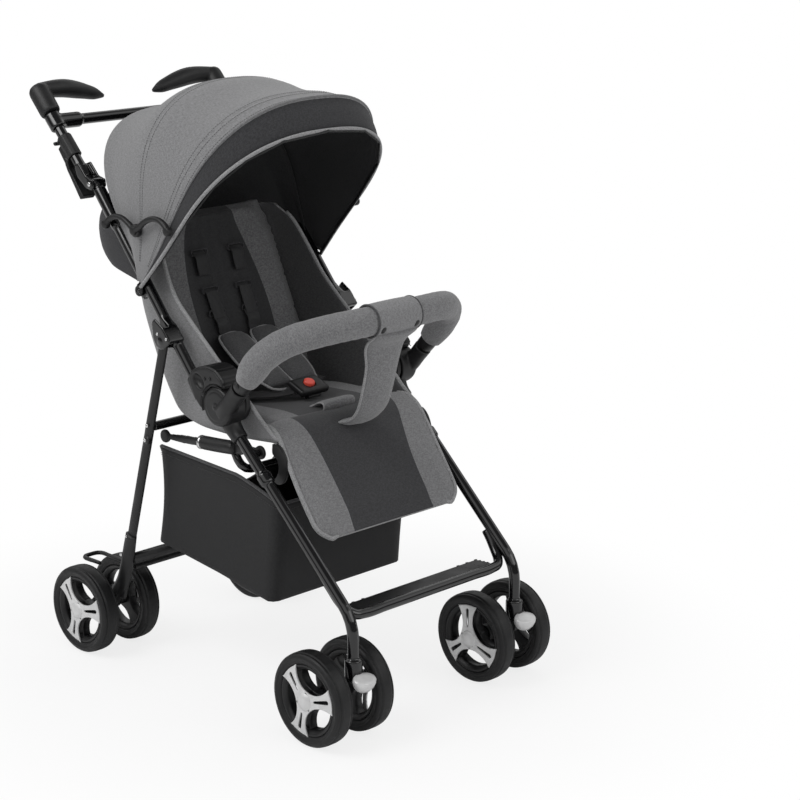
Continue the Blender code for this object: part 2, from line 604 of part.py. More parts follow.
# Upper cross tube of the rear frame
cross = lerp(PIVOT_C, PIVOT_B, 0.10)
CROSS_BACK = 0.0145
cross_centre = (cross[0] + 0.0155, cross[1] + CROSS_BACK * 0.3)
leg_x_here = LEG_TOP_X - 0.003 - LEG_FLAT - GAP
rear_cross = unite([
    rod((-leg_x_here, cross_centre[0] - 0.012, cross_centre[1]), (leg_x_here, cross_centre[0] - 0.012,
        cross_centre[1]), 0.0078, 12),
])
finish(rear_cross, "rear_cross_tube", "gloss_frame")

# Rear axle beam: two parallel tubes into the moulded feet between the twin wheels
FOOT_OUTLINE = [
    (0.4815, 0.150), (0.500, 0.118), (0.520, 0.0905), (0.545, 0.0650), (REAR_AXLE_Y, 0.0610), (0.579, 0.070),
    (0.579, 0.084), (0.566, 0.094), (0.545, 0.112), (0.528, 0.140), (0.5145, 0.186), (0.4765, 0.186),
]
beam_parts = []
for sign in (-1.0, 1.0):
    x = sign * REAR_X
    beam_parts.append(prism(FOOT_OUTLINE, x - 0.0125, x + 0.0125))
    beam_parts += axle_parts(x, REAR_AXLE_Y)
rear_axle = unite([
    rod((-REAR_X + 0.006, BEAM_Y, BEAM_Z), (REAR_X - 0.006, BEAM_Y, BEAM_Z), 0.009, 12),
] + beam_parts, [
    sweep([Vector((sign * abs(p.x), p.y, p.z)) for p in (leg_foot - leg_line * 0.15, leg_foot + leg_line * 0.0005)],
          LEG_LONG + GAP, 12, LEG_FLAT + GAP)
    for sign in (-1.0, 1.0)
])
finish(rear_axle, "rear_axle", "black_plastic")

# Foot brake: a rod between the feet that turns, with a looped pedal behind each foot
BRAKE_PIVOT = (BEAM_Y + 0.0155, BEAM_Z - 0.0215)
PEDAL = (0.604, 0.1530)
ROD_R = 0.0065
arm_in = REAR_X - 0.019
arm_out = REAR_X + 0.019
brake_parts = [rod((-arm_in - 0.004, BRAKE_PIVOT[0], BRAKE_PIVOT[1]),
                   (arm_in + 0.004, BRAKE_PIVOT[0], BRAKE_PIVOT[1]), ROD_R, 10)]
for sign in (-1.0, 1.0):
    brake_parts.append(sweep(
        round_corners([(sign * arm_in, BRAKE_PIVOT[0], BRAKE_PIVOT[1]), (sign * arm_in, PEDAL[0], PEDAL[1]),
                       (sign * arm_out, PEDAL[0], PEDAL[1]), (sign * arm_out, PEDAL[0] - 0.052, PEDAL[1] + 0.001)],
                      0.012, 3), 0.0042, 6, first=Vector((0, 0.1, 1.0))))
brake = unite(brake_parts)
finish(brake, "brake_bar", "black_plastic", (0.0, BRAKE_PIVOT[0], BRAKE_PIVOT[1]))

# Side rail: eyes at both pivots, a bent tube with a ring and a thicker sleeve towards the front leg
RAIL_IN = 0.1605
RAIL_OUT = 0.1668
RAIL_X = (RAIL_IN + RAIL_OUT) / 2.0
rail_a = lerp(PIVOT_D, PIVOT_C, 0.03)
rail_b = lerp(PIVOT_D, PIVOT_C, 0.97)
rail = unite([
    sweep([side(-RAIL_X, rail_a), side(-RAIL_X, lerp(PIVOT_D, PIVOT_C, 0.80)), side(-RAIL_X, rail_b)],
          [0.0078, 0.0078, 0.0050], 10, 0.0030),
    rod(side(-RAIL_OUT - GAP, PIVOT_D), side(-RAIL_IN, PIVOT_D), 0.0115, 12),
    rod(side(-RAIL_OUT - GAP, PIVOT_C), side(-RAIL_IN, PIVOT_C), 0.0115, 12),
    sweep([side(-RAIL_X, lerp(PIVOT_D, PIVOT_C, 0.17)), side(-RAIL_X, lerp(PIVOT_D, PIVOT_C, 0.20)),
           side(-RAIL_X, lerp(PIVOT_D, PIVOT_C, 0.48)), side(-RAIL_X, lerp(PIVOT_D, PIVOT_C, 0.50))],
          [0.0085, 0.0105, 0.0105, 0.0085], 12, 0.0036),
])
both_sides(rail, "side_rail", "black_plastic", side(-RAIL_X, PIVOT_D))

# Cross tube slung under the rails, which carries the front of the seat and the basket
SLING_Y = 0.243
SLING_Z = 0.372
sling_top = lerp(PIVOT_D, PIVOT_C, 0.33)
sling_x = RAIL_IN - 0.0082
sling = sweep(round_corners([
    (-sling_x, sling_top[0], sling_top[1] - 0.004), (-sling_x, SLING_Y, SLING_Z),
    (sling_x, SLING_Y, SLING_Z), (sling_x, sling_top[0], sling_top[1] - 0.004)], 0.02, 3), 0.0075, 10,
    first=Vector((0, 0.6, 0.6)))
sling_solid = unite([
    sling,
    rod((-RAIL_IN + 0.001, sling_top[0], sling_top[1]), (-sling_x + 0.006, sling_top[0], sling_top[1]), 0.0078, 12),
    rod((sling_x - 0.006, sling_top[0], sling_top[1]), (RAIL_IN - 0.001, sling_top[0], sling_top[1]), 0.0078, 12),
])
finish(sling_solid, "rail_cross_tube", "gloss_frame")


# Arches that make the canopy: half width, height along the plane, and squareness, seen square to the plane
def arch(angle, half, reach, inset=0.0, steps=9, low=0.052, power=2.5):
    d = (math.cos(math.radians(angle)), math.sin(math.radians(angle)))
    shoulder_s = reach * 0.45
    points = []
    half_in = half - inset
    top = reach - inset
    side_steps = 1
    for k in range(side_steps):
        points.append((-half_in, low + (shoulder_s - low) * k / side_steps))
    for k in range(steps):
        turn = math.pi * (1.0 - k / (steps - 1))
        c = math.cos(turn)
        s = math.sin(turn)
        x = math.copysign(abs(c) ** (2.0 / power), c) * half_in
        points.append((x, shoulder_s + (top - shoulder_s) * abs(s) ** (2.0 / power)))
    for k in reversed(range(side_steps)):
        points.append((half_in, low + (shoulder_s - low) * k / side_steps))
    return [Vector((x, PIVOT_P[0] + d[0] * s, PIVOT_P[1] + d[1] * s)) for x, s in points]


CANOPY_BOWS = [
    (20.0, CANOPY_REAR_HALF, 0.176), (34.0, CANOPY_REAR_HALF, 0.226), (50.0, CANOPY_REAR_HALF, 0.280),
    (67.0, 0.1685, 0.314), (74.0, 0.180, 0.314), (81.0, CANOPY_HALF, 0.322),
    (90.0, CANOPY_HALF, 0.326), (97.0, CANOPY_HALF, 0.334), (105.0, CANOPY_HALF, 0.340),
    (112.0, CANOPY_HALF, 0.354), (124.5, CANOPY_HALF, 0.388), (129.0, CANOPY_HALF, 0.372),
]
cover_rings = []
for angle, half, reach in CANOPY_BOWS:
    outer = arch(angle, half, reach)
    inner = arch(angle, half, reach, CLOTH)
    cover_rings.append(outer + list(reversed(inner)))
cover = as_object(loft(cover_rings))
finish(cover, "canopy_cover", "heather_fabric")

# Front bow of the canopy: a flat strip from clip to clip with a piped edge
bow_path = arch(132.5, CANOPY_HALF, 0.356, low=0.085)
clip_x = 0.1968
start = side(-clip_x, PIVOT_P)
bow_path = [start, start + Vector((0.001, -0.012, 0.0134))] + bow_path + [
    Vector((clip_x - 0.001, start.y - 0.012, start.z + 0.0134)), Vector((clip_x, start.y, start.z))]
bow = unite([
    sweep(bow_path, 0.0036, 6, 0.0017, first=Vector((1.0, 0.0, 0.0))),
    rod((-clip_x - 0.0020, PIVOT_P[0], PIVOT_P[1]), (-clip_x + 0.0020, PIVOT_P[0], PIVOT_P[1]), 0.0095, 14),
    rod((clip_x - 0.0020, PIVOT_P[0], PIVOT_P[1]), (clip_x + 0.0020, PIVOT_P[0], PIVOT_P[1]), 0.0095, 14),
], [
    rod((-0.25, PIVOT_P[0], PIVOT_P[1]), (0.25, PIVOT_P[0], PIVOT_P[1]), 0.0042 + GAP, 12),
])
finish(bow, "canopy_front_bow", "black_plastic", (0.0, PIVOT_P[0], PIVOT_P[1]))

# Canopy stay: two links with a round knuckle that lock the canopy open on each side
STAY_REAR = (0.512, 0.750)
STAY_KNUCKLE = (0.439, 0.746)
STAY_FRONT = (0.353, 0.754)
stay_rear = unite([
    sweep([side(-STAY_X, STAY_REAR), side(-STAY_X, (0.486, 0.7585)), side(-STAY_X, (0.462, 0.7555)),
           side(-STAY_X, STAY_KNUCKLE)], 0.0055, 8, 0.0014),
    rod(side(-STAY_X - 0.0014, STAY_REAR), side(-STAY_X + 0.0060, STAY_REAR), 0.0072, 12),
    rod(side(-STAY_X - 0.0014, STAY_KNUCKLE), side(-STAY_X + 0.0014, STAY_KNUCKLE), 0.0100, 14),
])
both_sides(stay_rear, "canopy_stay_rear", "black_plastic", side(-STAY_X, STAY_REAR))
link_x = STAY_X + 0.0014 + 0.0014 + 0.0004
stay_front = unite([
    sweep([side(-link_x, (0.419, 0.736)), side(-link_x, STAY_KNUCKLE), side(-link_x, (0.414, 0.7655)),
           side(-link_x, (0.385, 0.768)), side(-link_x, STAY_FRONT)], 0.0050, 8, 0.0014),
    rod(side(-link_x - 0.0014, STAY_KNUCKLE), side(-link_x + 0.0014, STAY_KNUCKLE), 0.0095, 10),
    rod(side(-link_x - 0.0014, STAY_FRONT), side(-link_x + 0.0055, STAY_FRONT), 0.0075, 10),
])
both_sides(stay_front, "canopy_stay_front", "black_plastic", side(-link_x, STAY_KNUCKLE))


# Cushioned forms: a rounded section whose half width, depth and crown follow the side view
def pillow_ring(centre, along_dir, normal, half, thick, crown, sides=16, power=3.2):
    ring = []
    for k in range(sides):
        turn = 2.0 * math.pi * (k + 0.5) / sides
        c = math.cos(turn)
        s = math.sin(turn)
        x = math.copysign(abs(c) ** (2.0 / power), c) * half
        n = math.copysign(abs(s) ** (2.0 / power), s) * thick / 2.0
        if s > 0.0:
            n += crown * (1.0 - (x / half) ** 2)
        ring.append(centre + X_AXIS * x + normal * n)
    return ring


def pillow(stations, sides=16):
    # Stations are (y, z, half width, thickness, crown) along the middle of the pad
    rings = []
    points = [Vector((0.0, s[0], s[1])) for s in stations]
    for i, s in enumerate(stations):
        a = points[max(i - 1, 0)]
        b = points[min(i + 1, len(points) - 1)]
        direction = (b - a).normalized()
        normal = Vector((0.0, -direction.z, direction.y))
        rings.append(pillow_ring(points[i], direction, normal, s[2], s[3], s[4], sides))
    return loft(rings)


# Seat base: a padded board, its front edge rounded over, with the buckle strap's slot
seat = unite([pillow([
    (0.152, 0.4390, 0.146, 0.006, 0.000), (0.156, 0.4405, 0.152, 0.018, 0.002),
    (0.172, 0.4430, SEAT_HALF - 0.003, 0.026, 0.004), (0.215, 0.4440, SEAT_HALF - 0.003, 0.030, 0.004),
    (0.262, 0.4430, SEAT_HALF - 0.003, 0.026, 0.001), (0.305, 0.4400, SEAT_HALF - 0.003, 0.026, 0.002),
    (0.338, 0.4390, 0.150, 0.022, 0.001), (0.352, 0.4400, 0.142, 0.006, 0.0),
])])
finish(seat, "seat_base", "charcoal_fabric")

# Backrest: a tall pad with side wings, hinged at its lower edge
BACK_LINE = [(0.374, 0.460), (0.386, 0.476), (0.404, 0.512), (0.428, 0.556), (0.452, 0.606), (0.472, 0.656),
             (0.488, 0.702), (0.498, 0.736), (0.502, 0.748)]
BACK_HALF = [0.142, 0.150, 0.153, 0.155, 0.156, 0.156, 0.150, 0.134, 0.120]
BACK_THICK = [0.008, 0.026, 0.034, 0.036, 0.036, 0.034, 0.030, 0.022, 0.006]
back_pad = pillow([(p[0], p[1], h, t, 0.001) for p, h, t in zip(BACK_LINE, BACK_HALF, BACK_THICK)], 16)
wings = []
for sign in (-1.0, 1.0):
    rings = []
    for i in range(1, 7):
        p = BACK_LINE[i]
        q = BACK_LINE[i + 1]
        direction = Vector((0.0, q[0] - p[0], q[1] - p[1])).normalized()
        normal = Vector((0.0, -direction.z, direction.y))
        depth = (0.020, 0.042, 0.058, 0.066, 0.058, 0.030)[i - 1]
        x_out = sign * (BACK_HALF[i] + 0.0005)
        base = Vector((x_out, p[0], p[1]))
        rings.append([
            base - X_AXIS * sign * 0.026 + normal * 0.004, base + normal * -0.004,
            base + normal * depth * 0.6, base - X_AXIS * sign * 0.004 + normal * depth,
            base - X_AXIS * sign * 0.013 + normal * depth * 0.92,
        ])
    wings.append(loft(rings))
backrest = unite([back_pad] + wings)
finish(backrest, "backrest", "heather_fabric", (0.0, HINGE_Q[0], HINGE_Q[1]))

# Harness: two padded shoulder straps lying on the backrest
harness_parts = []
for sign in (-1.0, 1.0):
    strap = []
    for y, z, x in ((0.4555, 0.690, 0.040), (0.4385, 0.655, 0.041), (0.4180, 0.610, 0.043), (0.3970, 0.566, 0.046),
                    (0.3760, 0.530, 0.044)):
        strap.append((Vector((sign * x, y - 0.006, z + 0.003))))
    harness_parts.append(sweep(strap, [0.0032, 0.0055, 0.0062, 0.0058, 0.0032], 10,
                               [0.014, 0.021, 0.0225, 0.0215, 0.014]))
harness_parts.append(sweep([Vector((-0.050, 0.4490, 0.6930)), Vector((0.0, 0.4495, 0.6940)),
                            Vector((0.050, 0.4490, 0.6930))], 0.0095, 8, 0.0020, first=Vector((0, 0.93, -0.35))))
harness = unite(harness_parts)
finish(harness, "harness", "charcoal_fabric")

# Buckle on the crotch strap with its release button
BUCKLE = Vector((0.0, 0.250, 0.4835))
buckle = unite([
    block(BUCKLE, (0.062, 0.040, 0.0125), 0.0045, 22.0, 2),
    block(BUCKLE + Vector((0.0, -0.010, -0.0105)), (0.028, 0.011, 0.014), 0.0, -20.0),
], [
    turned([(0.0, 0.0108), (0.020, 0.0108)], BUCKLE + Vector((0.0, -0.0005, 0.0018)),
           Vector((0.0, -math.sin(math.radians(22.0)), math.cos(math.radians(22.0)))), 16),
])
finish(buckle, "buckle", "black_plastic")
press = Vector((0.0, -math.sin(math.radians(22.0)), math.cos(math.radians(22.0))))
button = as_object(turned([(0.0, 0.0095), (0.0045, 0.0095), (0.0062, 0.0080)],
                          BUCKLE + Vector((0.0, -0.0005, 0.0018)) + press * 0.0026, press, 16))
finish(button, "buckle_button", "red_button")

# Calf rest: a padded flap hinged at the front of the seat on two quarter-round brackets
CALF_HINGE = (0.150, 0.425)
calf_pad = pillow([
    (0.1385, 0.4250, 0.150, 0.006, 0.0), (0.1355, 0.4200, 0.156, 0.018, 0.001), (0.1190, 0.3930, 0.160, 0.024, 0.002),
    (0.0900, 0.3500, 0.160, 0.024, 0.002), (0.0640, 0.3120, 0.152, 0.020, 0.001), (0.0520, 0.2950, 0.138, 0.006, 0.0),
], 16)
quarter = [(0.1565, 0.432), (0.144, 0.432), (0.125, 0.405), (0.131, 0.388), (0.147, 0.374), (0.158, 0.378), (0.1595, 0.410)]
calf_rest = unite([
    calf_pad,
    prism(quarter, -0.1630, -0.1570, 0.0),
    prism(quarter, 0.1570, 0.1630, 0.0),
    prism([(0.125, 0.405), (0.145, 0.430), (0.145, 0.405), (0.131, 0.388)], -0.158, -0.138, 0.0),
    prism([(0.125, 0.405), (0.145, 0.430), (0.145, 0.405), (0.131, 0.388)], 0.138, 0.158, 0.0),
])
finish(calf_rest, "calf_rest", "heather_fabric", (0.0, CALF_HINGE[0], CALF_HINGE[1]))

# Bumper bar: padded U tube with hard ends on the spigots, a centre wrap and the crotch gusset
arm_dir3 = Vector((0.0, arm_dir[0], arm_dir[1]))
bar_start = arm_end + arm_dir3 * GAP
hard_end = bar_start + arm_dir3 * 0.022
bar_path = [hard_end - arm_dir3 * 0.002, hard_end + arm_dir3 * 0.030 + Vector((0.002, 0, 0)), Vector((-0.196, 0.118, 0.606)),
            Vector((-0.182, 0.088, 0.623)), Vector((-0.148, 0.070, 0.627)), Vector((-0.090, 0.062, 0.628)),
            Vector((-0.046, 0.060, 0.628)), Vector((-0.044, 0.060, 0.628))]
radii = [0.0175, 0.0240, BAR_R, BAR_R, BAR_R, BAR_R, BAR_R, BAR_R + 0.0025]
full_path = bar_path + [Vector((-p.x, p.y, p.z)) for p in reversed(bar_path)]
full_radii = radii + list(reversed(radii))
bumper_parts = [sweep(full_path, full_radii, 10, first=Vector((0.0, 0.7, 0.7)))]
for sign in (-1.0, 1.0):
    bumper_parts.append(rod(Vector((sign * ARM_X, bar_start.y, bar_start.z)),
                            Vector((sign * ARM_X, hard_end.y, hard_end.z)), 0.0145, 12))
gusset = [(0.060, 0.604), (0.075, 0.590), (0.092, 0.586), (0.114, 0.560), (0.140, 0.523), (0.165, 0.494), (0.183, 0.4765)]
bumper_parts.append(sweep([Vector((0.0, p[0], p[1])) for p in gusset], [0.004, 0.010, 0.010, 0.008, 0.009, 0.010, 0.005],
                          8, [0.040, 0.036, 0.030, 0.024, 0.024, 0.030, 0.024]))
bumper_cut = []
for sign in (-1.0, 1.0):
    end = Vector((sign * ARM_X, arm_end.y, arm_end.z))
    bumper_cut.append(rod(end - arm_dir3 * 0.01, end + arm_dir3 * 0.0462, 0.0068 + GAP, 10))
    spot = Vector((sign * ARM_X, bar_start.y, bar_start.z)) + arm_dir3 * 0.011
    bumper_cut.append(rod(spot + X_AXIS * sign * 0.0088, spot + X_AXIS * sign * 0.030, 0.0052, 12))
bumper = unite(bumper_parts, bumper_cut)
finish(bumper, "bumper_bar", "heather_fabric")
spot = bar_start + arm_dir3 * 0.011
release = as_object(turned([(0.0, 0.0040), (0.0008, 0.0048), (0.0046, 0.0048)], spot - X_AXIS * 0.0165, X_AXIS, 12))
both_sides(release, "bumper_button", "black_plastic", spot)

# Basket: a sagging tub of cloth hung under the seat, open at the top
def basket_ring(z, y0, y1, half0, half1, corner, inset=0.0, tilt=0.0):
    # A rounded rectangle, narrower at the front, whose height drops by tilt towards the front
    y0 += inset
    y1 -= inset
    half0 -= inset
    half1 -= inset
    corners = (
        (-half1 + corner, y1 - corner, 0.5 * math.pi), (-half0 + corner, y0 + corner, math.pi),
        (half0 - corner, y0 + corner, 1.5 * math.pi), (half1 - corner, y1 - corner, 0.0),
    )
    ring = []
    for cx, cy, start_angle in corners:
        for k in range(4):
            turn = start_angle + k * math.pi / 6.0
            x = cx + corner * math.cos(turn)
            y = cy + corner * math.sin(turn)
            ring.append(Vector((x, y, z - tilt * (y1 - y) / (y1 - y0))))
    return ring


basket_levels = [
    (0.372, 0.262, 0.441, 0.1490, 0.1640, 0.020, 0.0), (0.362, 0.145, 0.443, 0.1500, 0.1640, 0.020, 0.020),
    (0.320, 0.150, 0.447, 0.1540, 0.1660, 0.022, 0.012), (0.260, 0.160, 0.451, 0.1560, 0.1670, 0.024, 0.008),
    (0.212, 0.172, 0.452, 0.1520, 0.1630, 0.026, 0.024), (0.186, 0.205, 0.430, 0.1300, 0.1430, 0.030, 0.026),
    (0.170, 0.240, 0.380, 0.0900, 0.1000, 0.030, 0.012),
]
outer = []
inner = []
for z, y0, y1, half0, half1, corner_r, tilt in basket_levels[1:]:
    outer.append(basket_ring(z, y0, y1, half0, half1, corner_r, 0.0, tilt))
    inner.append(basket_ring(z + (0.0032 if z < 0.25 else 0.0), y0, y1, half0, half1, corner_r, 0.0035, tilt))
basket = as_object(loft(list(reversed(outer)) + inner))
finish(basket, "basket", "basket_fabric")
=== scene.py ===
# %% [markdown]
# # A folding stroller, dressed over its frame
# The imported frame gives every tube, joint and wheel its place. This lesson adds what the eye
# meets first: cloth, foam, webbing, stitching and the small silver parts. Each step says what the
# real piece is and why it is made the way it is. Lengths are in metres.

import json
import math

import bmesh
import bpy
import numpy as np
from mathutils import Matrix, Vector

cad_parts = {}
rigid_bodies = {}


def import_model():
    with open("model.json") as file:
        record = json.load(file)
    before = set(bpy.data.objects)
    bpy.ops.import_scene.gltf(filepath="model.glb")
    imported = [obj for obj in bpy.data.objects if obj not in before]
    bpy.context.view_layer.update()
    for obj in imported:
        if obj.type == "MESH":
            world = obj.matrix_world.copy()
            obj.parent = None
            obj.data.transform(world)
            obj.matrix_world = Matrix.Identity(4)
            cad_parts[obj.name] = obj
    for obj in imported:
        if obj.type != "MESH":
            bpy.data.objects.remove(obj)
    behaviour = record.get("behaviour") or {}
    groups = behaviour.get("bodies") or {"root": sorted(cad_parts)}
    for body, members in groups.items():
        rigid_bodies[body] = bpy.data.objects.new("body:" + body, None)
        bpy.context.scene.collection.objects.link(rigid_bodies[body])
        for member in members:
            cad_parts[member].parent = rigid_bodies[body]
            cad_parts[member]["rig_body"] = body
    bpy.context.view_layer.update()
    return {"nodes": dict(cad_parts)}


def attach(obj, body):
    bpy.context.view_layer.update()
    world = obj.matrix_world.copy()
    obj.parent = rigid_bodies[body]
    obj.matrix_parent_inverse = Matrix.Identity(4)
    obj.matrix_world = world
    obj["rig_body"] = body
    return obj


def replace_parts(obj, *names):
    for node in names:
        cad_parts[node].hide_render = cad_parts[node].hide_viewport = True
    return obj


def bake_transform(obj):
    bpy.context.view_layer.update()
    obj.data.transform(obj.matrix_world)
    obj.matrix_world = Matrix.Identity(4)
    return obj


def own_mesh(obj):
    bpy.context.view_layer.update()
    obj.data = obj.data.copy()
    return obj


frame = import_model()

# %% [markdown]
# ## Where things are
# The drawing of the frame starts at the front axle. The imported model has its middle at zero, so a
# drawing point moves back by one fixed step. These are the points that the cloth hangs from.

# %% Drawing points
ORIGIN_Y = 0.3137
DROP = 0.0011546
WHEEL_R = 0.0757
TWIN = 0.0876
FRONT_X = 0.184
REAR_X = 0.190
REAR_AXLE_Y = 0.565
AXLE_Z = 0.076
PIVOT_P = (0.437, 0.644)
X_AXIS = Vector((1.0, 0.0, 0.0))


def place(x, y, z):
    return Vector((x, y - ORIGIN_Y, z - DROP))


def through(keys, values, at):
    # A smooth curve through the given values, read at the asked places
    keys = np.asarray(keys, float)
    values = np.asarray(values, float)
    at = np.clip(np.asarray(at, float), keys[0], keys[-1])
    slope = np.gradient(values, keys)
    i = np.clip(np.searchsorted(keys, at) - 1, 0, len(keys) - 2)
    width = keys[i + 1] - keys[i]
    t = (at - keys[i]) / width
    return ((2 * t**3 - 3 * t**2 + 1) * values[i] + (t**3 - 2 * t**2 + t) * width * slope[i]
            + (-2 * t**3 + 3 * t**2) * values[i + 1] + (t**3 - t**2) * width * slope[i + 1])


def smooth_path(points, steps):
    # The same points, joined by a smooth line of evenly read steps
    points = np.array([tuple(p) for p in points], float)
    gaps = np.linalg.norm(np.diff(points, axis=0), axis=1)
    keys = np.concatenate([[0.0], np.cumsum(gaps)])
    at = np.linspace(0.0, keys[-1], steps)
    return [Vector(p) for p in np.stack([through(keys, points[:, k], at) for k in range(3)], axis=1)]


# %% [markdown]
# ## Camera and light
# The camera stands at the front right, a little above the seat, with a long lens, so that the
# tubes stay nearly parallel. A white room and two broad lamps light the cloth evenly. The room
# also holds a bright band that only reflections see: it draws a long highlight on each tube.

# %% Camera
AZIMUTH = math.radians(-45.244)
ELEVATION = math.radians(14.883)
back = Vector((math.sin(AZIMUTH) * math.cos(ELEVATION), -math.cos(AZIMUTH) * math.cos(ELEVATION),
               math.sin(ELEVATION)))
right = Vector((math.cos(AZIMUTH), math.sin(AZIMUTH), 0.0))
up = back.cross(right)
camera_data = bpy.data.cameras.new("camera")
camera_data.lens = 94.07
camera_data.sensor_width = 36.0
camera = bpy.data.objects.new("camera", camera_data)
bpy.context.scene.collection.objects.link(camera)
camera.matrix_world = Matrix.Translation(Vector((-2.24936, -2.50559, 1.33976))) @ Matrix(
    (right, up, back)).transposed().to_4x4()
bpy.context.scene.camera = camera
bpy.context.scene.view_settings.view_transform = "Standard"


# %% Lamps
def lamp(name, spot, aim, size, power):
    data = bpy.data.lights.new(name, "AREA")
    data.shape = "DISK"
    data.size = size
    data.energy = power
    obj = bpy.data.objects.new(name, data)
    bpy.context.scene.collection.objects.link(obj)
    obj.location = spot
    obj.rotation_euler = (Vector(spot) - Vector(aim)).to_track_quat("Z", "Y").to_euler()


lamp("lamp_main", (-2.0, 0.4, 2.7), (0.0, 0.0, 0.5), 1.8, 34.0)
lamp("lamp_front", (0.6, -2.9, 1.9), (0.0, 0.0, 0.4), 2.0, 12.0)

world = bpy.data.worlds.new("white_room")
bpy.context.scene.world = world
world.use_nodes = True
sky = world.node_tree.nodes["Background"]
sky.inputs["Color"].default_value = (1.0, 1.0, 1.0, 1.0)
rays = world.node_tree.nodes.new("ShaderNodeLightPath")
ways = world.node_tree.nodes.new("ShaderNodeTexCoord")
height = world.node_tree.nodes.new("ShaderNodeSeparateXYZ")
world.node_tree.links.new(ways.outputs["Generated"], height.inputs[0])
strip = world.node_tree.nodes.new("ShaderNodeValToRGB")
strip.color_ramp.elements[0].position = 0.28
strip.color_ramp.elements[1].position = 0.80
for ramp_height in (0.36, 0.66):
    strip.color_ramp.elements.new(ramp_height)
for stop, level in zip(strip.color_ramp.elements, (0.16, 1.0, 1.0, 0.16)):
    stop.color = (level, level, level, 1.0)
world.node_tree.links.new(height.outputs["Z"], strip.inputs[0])
dim = world.node_tree.nodes.new("ShaderNodeMix")
dim.inputs["A"].default_value = 0.60
world.node_tree.links.new(strip.outputs["Color"], dim.inputs["B"])
bright = world.node_tree.nodes.new("ShaderNodeMath")
bright.operation = "MAXIMUM"
world.node_tree.links.new(rays.outputs["Is Glossy Ray"], dim.inputs["Factor"])
world.node_tree.links.new(dim.outputs["Result"], bright.inputs[0])
world.node_tree.links.new(rays.outputs["Is Camera Ray"], bright.inputs[1])
world.node_tree.links.new(bright.outputs[0], sky.inputs["Strength"])
print("camera and lamps ready")


# %% [markdown]
# ## Materials
# A material is a short chain of nodes: a pattern in real lengths drives colour, roughness and
# bump. One helper adds nodes and joins them, so that each finish below reads as a recipe.

# %% Node helper
class Recipe:
    def __init__(self, name):
        self.material = bpy.data.materials.new(name)
        self.material.use_nodes = True
        self.nodes = self.material.node_tree.nodes
        self.links = self.material.node_tree.links
        self.shader = self.nodes["Principled BSDF"]

    def put(self, kind, settings=None, **inputs):
        node = self.nodes.new("ShaderNode" + kind)
        for key, value in (settings or {}).items():
            setattr(node, key, value)
        for key, value in inputs.items():
            numbered = key[0] == "_" and key[1:].isdigit()
            socket = node.inputs[int(key[1:]) if numbered else key.replace("_", " ")]
            if isinstance(value, bpy.types.NodeSocket):
                self.links.new(value, socket)
            else:
                socket.default_value = value
        return node

    def spots(self, uv=False, stretch=(1.0, 1.0, 1.0)):
        kind = "UV" if uv else "Object"
        source = self.put("TexCoord").outputs[kind]
        return self.put("Mapping", Vector=source, Scale=stretch).outputs["Vector"]

    def noise(self, where, scale, detail=3.0, roughness=0.55):
        return self.put("TexNoise", Vector=where, Scale=scale, Detail=detail,
                        Roughness=roughness).outputs["Fac"]

    def span(self, value, low, high, source=(0.35, 0.65)):
        return self.put("MapRange", Value=value, From_Min=source[0], From_Max=source[1],
                        To_Min=low, To_Max=high).outputs["Result"]

    def blend(self, factor, first, second):
        node = self.put("Mix", {"data_type": "RGBA"})
        self.links.new(factor, node.inputs[0])
        for socket, colour in ((node.inputs[6], first), (node.inputs[7], second)):
            if isinstance(colour, bpy.types.NodeSocket):
                self.links.new(colour, socket)
            else:
                socket.default_value = (*colour, 1.0)
        return node.outputs[2]

    def finish(self, colour=None, roughness=None, height=None, depth=0.0002, strength=0.5, **values):
        if colour is not None:
            self.links.new(colour, self.shader.inputs["Base Color"])
        if roughness is not None:
            self.links.new(roughness, self.shader.inputs["Roughness"])
        if height is not None:
            bump = self.put("Bump", Height=height, Distance=depth, Strength=strength)
            self.links.new(bump.outputs["Normal"], self.shader.inputs["Normal"])
        for key, value in values.items():
            self.shader.inputs[key.replace("_", " ")].default_value = value
        return self.material


# %% [markdown]
# ### Cloth
# The grey cloth is woven from light and dark yarns, so its grey is a mix of short dashes along
# both thread directions. Two stretched noises give the dashes, and a wave for each direction gives
# the weave. Sheets carry a map in metres; pads, whose mesh is made anew by the cloth step, use
# plain object coordinates.

